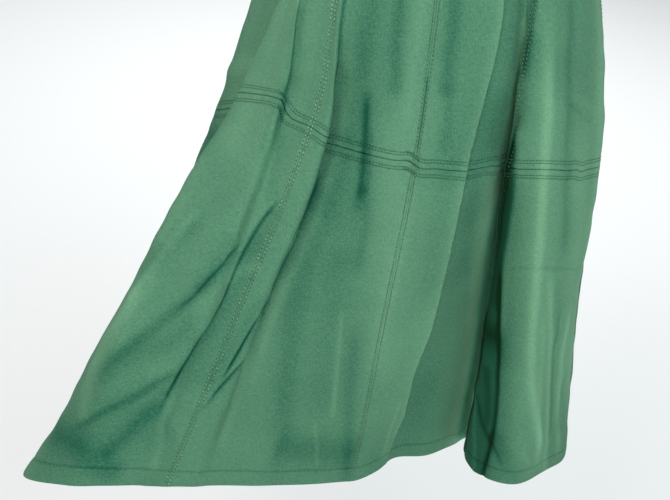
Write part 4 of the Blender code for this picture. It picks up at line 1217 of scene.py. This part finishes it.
@dataclass
class Zip:
    """The concealed zip: its tape is the solid itself, with teeth behind it and a slider in front.

    tooth and drop are sizes along, down and out. lean is degrees, and rounding a share of a tooth.
    """

    form: ClothForm
    seam: int = SEAM_RIBS[BACK_SEAM]
    top: float = 46 * MM
    foot: float = 208 * MM
    pitch: float = 1.7 * MM
    behind: float = 3.2 * MM
    tooth: tuple[float, float, float] = (2.6 * MM, 0.55 * MM, 0.5 * MM)
    lean: float = 16
    rounding: float = 0.28
    slider_level: float = 44 * MM
    before: float = 1.5 * MM
    drop: tuple[float, float, float] = (5 * MM, 16 * MM, 2 * MM)
    tape: tuple[float, float] = (24 * MM, 172 * MM)
    slider_node: str = "zip_slider"
    tape_node: str = "zip_tape"

    def place(self, level: float) -> tuple[Vector, Matrix]:
        """Returns the seam's point at a level, and its directions along, down and out as columns."""
        rings, levels = np.array([[float(self.seam)]]), np.array([level])
        point, normal, _ = self.form.frames(rings, levels)
        below = self.form.points(rings, levels + MM)
        down = unit(below - point)[0, 0]
        out = normal[0, 0]
        along = np.cross(out, down)
        return Vector(point[0, 0]), Matrix((along, down, out)).transposed()

    def build_teeth(self, material: bpy.types.Material) -> None:
        """Models one tooth as a rounded bar and copies it down the tape, leaning by turns."""
        bpy.ops.mesh.primitive_cube_add(size=1)
        tooth = bpy.context.object
        bevel = tooth.modifiers.new("rounding", "BEVEL")
        bevel.width = self.rounding
        bevel.segments = 2
        select_only(tooth)
        bpy.ops.object.modifier_apply(modifier=bevel.name)
        bars = []
        for index, level in enumerate(np.arange(self.top, self.foot, self.pitch)):
            point, turn = self.place(float(level))
            lean = Matrix.Rotation(math.radians(self.lean if index % 2 else -self.lean), 3, "Z")
            bar = tooth.copy()
            bar.data = tooth.data.copy()
            bpy.context.scene.collection.objects.link(bar)
            size = Matrix.Diagonal(self.tooth)
            middle = point - turn.col[2] * self.behind
            bar.data.transform(Matrix.Translation(middle) @ (turn @ lean @ size).to_4x4())
            bars.append(bar)
        bpy.data.objects.remove(tooth)
        select_only(bars[0])
        for bar in bars:
            bar.select_set(True)
        bpy.ops.object.join()
        bpy.ops.object.shade_smooth_by_angle(angle=math.radians(40))
        add_piece(bpy.context.object, "zip_teeth", material)

    def build_slider(self, material: bpy.types.Material) -> None:
        """Models the slider's drop-shaped handle in the space of its solid."""
        point, turn = self.place(self.slider_level)
        bpy.ops.mesh.primitive_uv_sphere_add(segments=24, ring_count=16, radius=0.5)
        drop = bpy.context.object
        for vertex in drop.data.vertices:
            x, y, z = vertex.co
            slim = 0.50 + 0.50 * min(1.0, max(0.0, 0.5 + y * 1.15))
            vertex.co = (x * slim, y, z)
        bpy.ops.object.mode_set(mode="EDIT")
        bpy.ops.mesh.select_all(action="SELECT")
        bpy.ops.mesh.subdivide(number_cuts=1, smoothness=0.4)
        bpy.ops.object.mode_set(mode="OBJECT")
        size = Matrix.Diagonal(self.drop)
        middle = point + turn.col[2] * self.before
        drop.data.transform(Matrix.Translation(middle) @ (turn @ size).to_4x4())
        select_only(drop)
        bpy.ops.object.shade_smooth()
        add_piece(drop, "zip_slider_drop", material)
        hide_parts(self.slider_node)

    def build(self, weave: bpy.types.Material, enamel: bpy.types.Material) -> None:
        """Dresses the tape and adds the teeth and the slider."""
        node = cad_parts[self.tape_node]
        for slot in node.material_slots:
            slot.material = weave
        self.build_teeth(weave)
        self.build_slider(enamel)


class Value:
    """A number in a shader, which sums, products and the like turn into Math nodes."""

    def __init__(self, shader: "Shader", source: Any) -> None:
        """Keeps the socket or the number."""
        self.shader = shader
        self.source = source

    def _math(self, operation: str, *others: Any) -> "Value":
        """Adds a Math node."""
        inputs = [other.source if isinstance(other, Value) else other for other in others]
        node = self.shader.node("ShaderNodeMath", {"operation": operation}, dict(enumerate(inputs)))
        return Value(self.shader, node.outputs[0])

    def __add__(self, other: Any) -> "Value":
        """self + other."""
        return self._math("ADD", self, other)

    __radd__ = __add__

    def __sub__(self, other: Any) -> "Value":
        """self - other."""
        return self._math("SUBTRACT", self, other)

    def __rsub__(self, other: Any) -> "Value":
        """other - self."""
        return self._math("SUBTRACT", other, self)

    def __mul__(self, other: Any) -> "Value":
        """self * other."""
        return self._math("MULTIPLY", self, other)

    __rmul__ = __mul__

    def sine(self) -> "Value":
        """The sine of self."""
        return self._math("SINE", self)

    def clamp(self, low: float, high: float) -> "Value":
        """self, kept between two numbers."""
        raised = self._math("MAXIMUM", self, low)
        return raised._math("MINIMUM", raised, high)


class Shader:
    """One material and the nodes that are added to it."""

    def __init__(self, name: str) -> None:
        """Starts a material with its Principled shader."""
        self.material = bpy.data.materials.new(name)
        self.material.use_nodes = True
        self.tree = self.material.node_tree
        self.principled = self.tree.nodes["Principled BSDF"]

    def node(self, kind: str, settings: dict[str, Any] | None = None,
             inputs: dict[Any, Any] | None = None) -> bpy.types.Node:
        """Adds a node.

        Args:
            kind: Its type.
            settings: Its own settings, set first.
            inputs: Numbers, colours or links for its sockets, by name or place.

        Returns:
            The node.
        """
        node = self.tree.nodes.new(kind)
        for name, value in (settings or {}).items():
            setattr(node, name, value)
        for name, value in (inputs or {}).items():
            self.feed(node.inputs[name], value)
        return node

    def feed(self, socket: bpy.types.NodeSocket, value: Any) -> None:
        """Links or sets one socket."""
        if isinstance(value, Value):
            value = value.source
        if isinstance(value, bpy.types.NodeSocket):
            self.tree.links.new(value, socket)
        else:
            socket.default_value = value

    def set(self, **sockets: Any) -> None:
        """Feeds the Principled shader; an underscore in a name stands for a space."""
        for name, value in sockets.items():
            self.feed(self.principled.inputs[name.replace("_", " ")], value)

    def noise(self, vector: Any, scale: float, detail: float = 2.0, roughness: float = 0.5) -> Value:
        """A noise between 0 and 1."""
        node = self.node("ShaderNodeTexNoise", None,
                         {"Vector": vector, "Scale": scale, "Detail": detail, "Roughness": roughness})
        return Value(self, node.outputs["Fac"])

    def mix(self, share: Any, one: Any, two: Any) -> bpy.types.NodeSocket:
        """Mixes two colours."""
        node = self.node("ShaderNodeMix", {"data_type": "RGBA"}, {0: share, 6: one, 7: two})
        return node.outputs[2]

    def stretched(self, vector: Any, scale: tuple[float, float, float]) -> bpy.types.NodeSocket:
        """A vector with each of its parts scaled."""
        node = self.node("ShaderNodeVectorMath", {"operation": "MULTIPLY"}, {0: vector, 1: scale})
        return node.outputs[0]

    def bump(self, height: Value, distance: float, strength: float) -> None:
        """Raises the surface by a height."""
        node = self.node("ShaderNodeBump", None,
                         {"Height": height, "Distance": distance, "Strength": strength})
        self.feed(self.principled.inputs["Normal"], node.outputs[0])


@dataclass(frozen=True)
class TwillFinish:
    """Soft green twill, with painted shade and painted highlight laid into its colour along the creases.

    even is where the colour lies between dark and light, and each share is how far one
    unevenness moves it. deep and pale are the crease value from which the colour goes on to the
    painted near black-green shadow or the painted pale green highlight, how fast it does, and how far it goes.
    """

    dark: tuple[float, float, float, float] = (0.016, 0.118, 0.070, 1.0)
    light: tuple[float, float, float, float] = (0.212, 0.436, 0.262, 1.0)
    painted_shadow_green: tuple[float, float, float, float] = (0.0002, 0.020, 0.003, 1.0)
    painted_highlight_green: tuple[float, float, float, float] = (0.100, 0.630, 0.430, 1.0)
    rib_pitch: float = 0.75 * MM
    roughness: float = 0.88
    even: float = 0.42
    slub_share: float = 0.42
    weft_slub_share: float = 0.36
    mottle_share: float = 0.14
    cloud_share: float = 0.14
    grain_share: float = 0.44
    rib_share: float = 0.05
    deep: tuple[float, float, float] = (0.36, 2.6, 0.95)
    pale: tuple[float, float, float] = (0.40, 1.3, 0.45)

    def make(self) -> bpy.types.Material:
        """Builds the material."""
        shader = Shader("green_twill_with_painted_light")
        cloth = shader.node("ShaderNodeUVMap", {"uv_map": "cloth"}).outputs[0]
        spread = shader.node("ShaderNodeTexCoord").outputs["Object"]
        parts = shader.node("ShaderNodeSeparateXYZ", None, {0: cloth})
        across, down = Value(shader, parts.outputs[0]), Value(shader, parts.outputs[1])
        turn = math.tau / self.rib_pitch
        ribs = (across * turn + down * (turn * 0.8)).sine()
        weft = (down * (turn * 1.9) + shader.noise(cloth, 900.0) * 3.0).sine()
        slub = shader.noise(shader.stretched(cloth, (1.0, 0.42, 1.0)), 600.0, 2.0, 0.6)
        weft_slub = shader.noise(shader.stretched(cloth, (0.36, 1.0, 1.0)), 600.0, 2.0, 0.6)
        grain = shader.noise(cloth, 950.0, 1.0)
        mottle = shader.noise(spread, 150.0, 3.0, 0.6)
        cloud = shader.noise(spread, 14.0, 2.0)
        tone = Value(shader, shader.node("ShaderNodeAttribute", {"attribute_name": "tone"}).outputs["Fac"])
        share = self.even + (slub - 0.5) * self.slub_share + (weft_slub - 0.5) * self.weft_slub_share
        share = share + (mottle - 0.5) * self.mottle_share + (cloud - 0.5) * self.cloud_share
        # The creases' painted shade and highlight, with the seams' darker lines, move the share too.
        share = share + (grain - 0.5) * self.grain_share + ribs * self.rib_share + tone
        # Far below zero the colour goes on to a painted near black-green shadow, far above it to a painted pale green
        # highlight.
        start, rate, most = self.deep
        deep = ((0.0 - tone - start) * rate).clamp(0.0, most)
        start, rate, most = self.pale
        pale = ((tone - start) * rate).clamp(0.0, most)
        colour = shader.mix(share.clamp(0.0, 1.0), self.dark, self.light)
        colour = shader.mix(pale, colour, self.painted_highlight_green)
        shader.set(Base_Color=shader.mix(deep, colour, self.painted_shadow_green),
                   Roughness=self.roughness, Sheen_Weight=0.03, Sheen_Roughness=0.45,
                   Sheen_Tint=(0.60, 0.95, 0.75, 1.0), Specular_IOR_Level=0.10)
        height = ribs * 0.35 + weft * 0.2 + slub * 1.0 + weft_slub * 0.5 + mottle * 0.8
        shader.bump(height, 0.12 * MM, 0.6)
        return shader.material


@dataclass(frozen=True)
class ThreadFinish:
    """Twisted sewing thread, in the cloth's green."""

    name: str
    dark: tuple[float, float, float, float]
    light: tuple[float, float, float, float]

    def make(self) -> bpy.types.Material:
        """Builds the material."""
        shader = Shader(self.name)
        spread = shader.node("ShaderNodeTexCoord").outputs["Object"]
        patch = (shader.noise(spread, 16.0, 1.0) - 0.5) * 2.4
        blotch = ((shader.noise(spread, 230.0, 1.0) - 0.42) * 3.0 + patch).clamp(0.0, 1.0)
        twist = shader.noise(spread, 3200.0, 1.0)
        shader.set(Base_Color=shader.mix((blotch + (twist - 0.5) * 0.3).clamp(0.0, 1.0), self.dark, self.light),
                   Roughness=0.6, Sheen_Weight=0.2)
        shader.bump(twist, 0.05 * MM, 0.5)
        return shader.material


RAISED_THREAD = ThreadFinish("raised_thread", (0.075, 0.225, 0.125, 1.0), (0.290, 0.480, 0.350, 1.0))
# The same thread as the raised one, painted darker as shade, for rows that lie low or show little.
DARKER_PAINTED_THREAD = ThreadFinish("thread_painted_darker", (0.050, 0.160, 0.088, 1.0), (0.110, 0.290, 0.170, 1.0))


@dataclass(frozen=True)
class HoleShadeFinish:
    """Painted shade in the needle's holes, a little uneven."""

    dark: tuple[float, float, float, float] = (0.006, 0.030, 0.014, 1.0)
    light: tuple[float, float, float, float] = (0.040, 0.120, 0.065, 1.0)

    def make(self) -> bpy.types.Material:
        """Builds the material."""
        shader = Shader("needle_hole_shade")
        spread = shader.node("ShaderNodeTexCoord").outputs["Object"]
        share = ((shader.noise(spread, 240.0, 2.0) - 0.35) * 2.0).clamp(0.0, 1.0)
        shader.set(Base_Color=shader.mix(share, self.dark, self.light), Roughness=0.9)
        return shader.material


@dataclass(frozen=True)
class TapeFinish:
    """Woven zip tape and its nylon teeth."""

    dark: tuple[float, float, float, float] = (0.035, 0.115, 0.065, 1.0)
    light: tuple[float, float, float, float] = (0.080, 0.210, 0.120, 1.0)

    def make(self) -> bpy.types.Material:
        """Builds the material."""
        shader = Shader("zip_tape_weave")
        spread = shader.node("ShaderNodeTexCoord").outputs["Object"]
        parts = shader.node("ShaderNodeSeparateXYZ", None, {0: spread})
        across, down = Value(shader, parts.outputs[0]), Value(shader, parts.outputs[2])
        turn = math.tau / (0.8 * MM)
        weave = (across * turn + down * turn).sine() * 0.5 + (down * turn - across * turn).sine() * 0.5
        wear = shader.noise(spread, 140.0, 3.0)
        shader.set(Base_Color=shader.mix((weave * 0.3 + wear).clamp(0, 1), self.dark, self.light),
                   Roughness=0.78)
        shader.bump(weave, 0.08 * MM, 0.7)
        return shader.material


@dataclass(frozen=True)
class EnamelFinish:
    """Green enamel on the slider, with the metal showing faintly where it rubs."""

    enamel: tuple[float, float, float, float] = (0.110, 0.240, 0.150, 1.0)
    rubbed: tuple[float, float, float, float] = (0.340, 0.420, 0.350, 1.0)

    def make(self) -> bpy.types.Material:
        """Builds the material."""
        shader = Shader("slider_enamel")
        spread = shader.node("ShaderNodeTexCoord").outputs["Object"]
        rub = ((shader.noise(spread, 420.0, 4.0, 0.6) - 0.58) * 6.0).clamp(0.0, 1.0)
        shader.set(Base_Color=shader.mix(rub, self.enamel, self.rubbed), Metallic=rub * 0.7 + 0.2,
                   Roughness=0.45 - rub * 0.12)
        shader.bump(shader.noise(spread, 900.0, 2.0), 0.03 * MM, 0.4)
        return shader.material


@dataclass(frozen=True)
class FloorFinish:
    """A plain pale floor."""

    colour: tuple[float, float, float, float] = (0.92, 0.92, 0.92, 1.0)

    def make(self) -> bpy.types.Material:
        """Builds the material."""
        shader = Shader("pale_floor")
        shader.set(Base_Color=self.colour, Roughness=0.95, Specular_IOR_Level=0.1)
        return shader.material


@dataclass(frozen=True)
class Lamp:
    """One soft light: where it stands, what it aims at, its size, power and colour."""

    name: str
    stands: tuple[float, float, float]
    aims: tuple[float, float, float]
    size: float
    power: float
    colour: tuple[float, float, float]


@dataclass(frozen=True)
class Studio:
    """Camera, lights and floor."""

    target: tuple[float, float, float] = (-0.07, -0.15, -0.40)
    distance: float = 1.10
    look_down: float = 29.0
    roll: float = 6.0
    lens: float = 56.0
    floor_height: float = -1.30
    floor_size: float = 14.0
    sky: tuple[float, float, float, float] = (0.93, 0.99, 1.0, 1.0)
    sky_power: float = 0.40
    lamps: tuple[Lamp, ...] = (
        Lamp("key", (-1.0, -1.7, 1.25), (-0.05, -0.1, -0.30), 0.9, 21.0, (1.0, 0.97, 0.92)),
        Lamp("fill", (0.95, -1.6, 1.1), (0.1, -0.1, -0.25), 0.9, 15.0, (0.80, 1.0, 1.03)),
        Lamp("front", (0.15, -2.0, 0.5), (0.05, -0.1, -0.40), 1.0, 8.2, (1.0, 0.98, 0.95)),
        Lamp("backdrop", (0.0, 2.8, 1.6), (0.0, 2.8, -1.3), 3.4, 86.0, (1.0, 1.0, 1.0)),
    )

    def place_camera(self) -> None:
        """Looks down at the skirt's front, with the roll that leans its axis."""
        data = bpy.data.cameras.new("camera")
        data.lens = self.lens
        camera = bpy.data.objects.new("camera", data)
        bpy.context.scene.collection.objects.link(camera)
        down = math.radians(self.look_down)
        ahead = Vector((0, math.cos(down), -math.sin(down)))
        camera.location = Vector(self.target) - ahead * self.distance
        turn = Matrix.Rotation(math.radians(90 - self.look_down), 4, "X")
        camera.matrix_world = (Matrix.Translation(camera.location) @ turn
                               @ Matrix.Rotation(math.radians(self.roll), 4, "Z"))
        bpy.context.scene.camera = camera

    def place_lamps(self) -> None:
        """Sets the sky's even light and the soft lamps."""
        world = bpy.data.worlds.new("studio")
        world.use_nodes = True
        sky = world.node_tree.nodes["Background"]
        sky.inputs["Color"].default_value = self.sky
        sky.inputs["Strength"].default_value = self.sky_power
        bpy.context.scene.world = world
        for lamp in self.lamps:
            data = bpy.data.lights.new(lamp.name, "AREA")
            data.size = lamp.size
            data.energy = lamp.power
            data.color = lamp.colour
            light = bpy.data.objects.new(lamp.name, data)
            light.location = lamp.stands
            aim = Vector(lamp.aims) - Vector(lamp.stands)
            light.rotation_euler = aim.to_track_quat("-Z", "Y").to_euler()
            bpy.context.scene.collection.objects.link(light)

    def lay_floor(self) -> None:
        """Adds the floor, well below the hem."""
        bpy.ops.mesh.primitive_plane_add(size=self.floor_size, location=(0, 0, self.floor_height))
        floor = bpy.context.object
        floor.name = "floor"
        floor.data.materials.append(FloorFinish().make())

    def build(self) -> None:
        """Sets up the whole studio."""
        self.place_camera()
        self.place_lamps()
        self.lay_floor()
        bpy.context.scene.view_settings.view_transform = "Standard"


def main() -> None:
    """Builds the studio, the cloth, its sewing and the zip."""
    logging.basicConfig(level=logging.INFO, format="%(name)s: %(message)s")
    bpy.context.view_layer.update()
    bpy.ops.object.select_all(action="DESELECT")
    Studio().build()
    form = ClothForm()
    twill = TwillFinish().make()
    panels = Panels(Relief(form))
    panels.build(twill)
    band = Waistband(form)
    band.build(twill)
    Sewing(RAISED_THREAD.make(), DARKER_PAINTED_THREAD.make(), HoleShadeFinish().make()).build(panels, band)
    Zip(form).build(TapeFinish().make(), EnamelFinish().make())


if __name__ == "__main__":
    main()
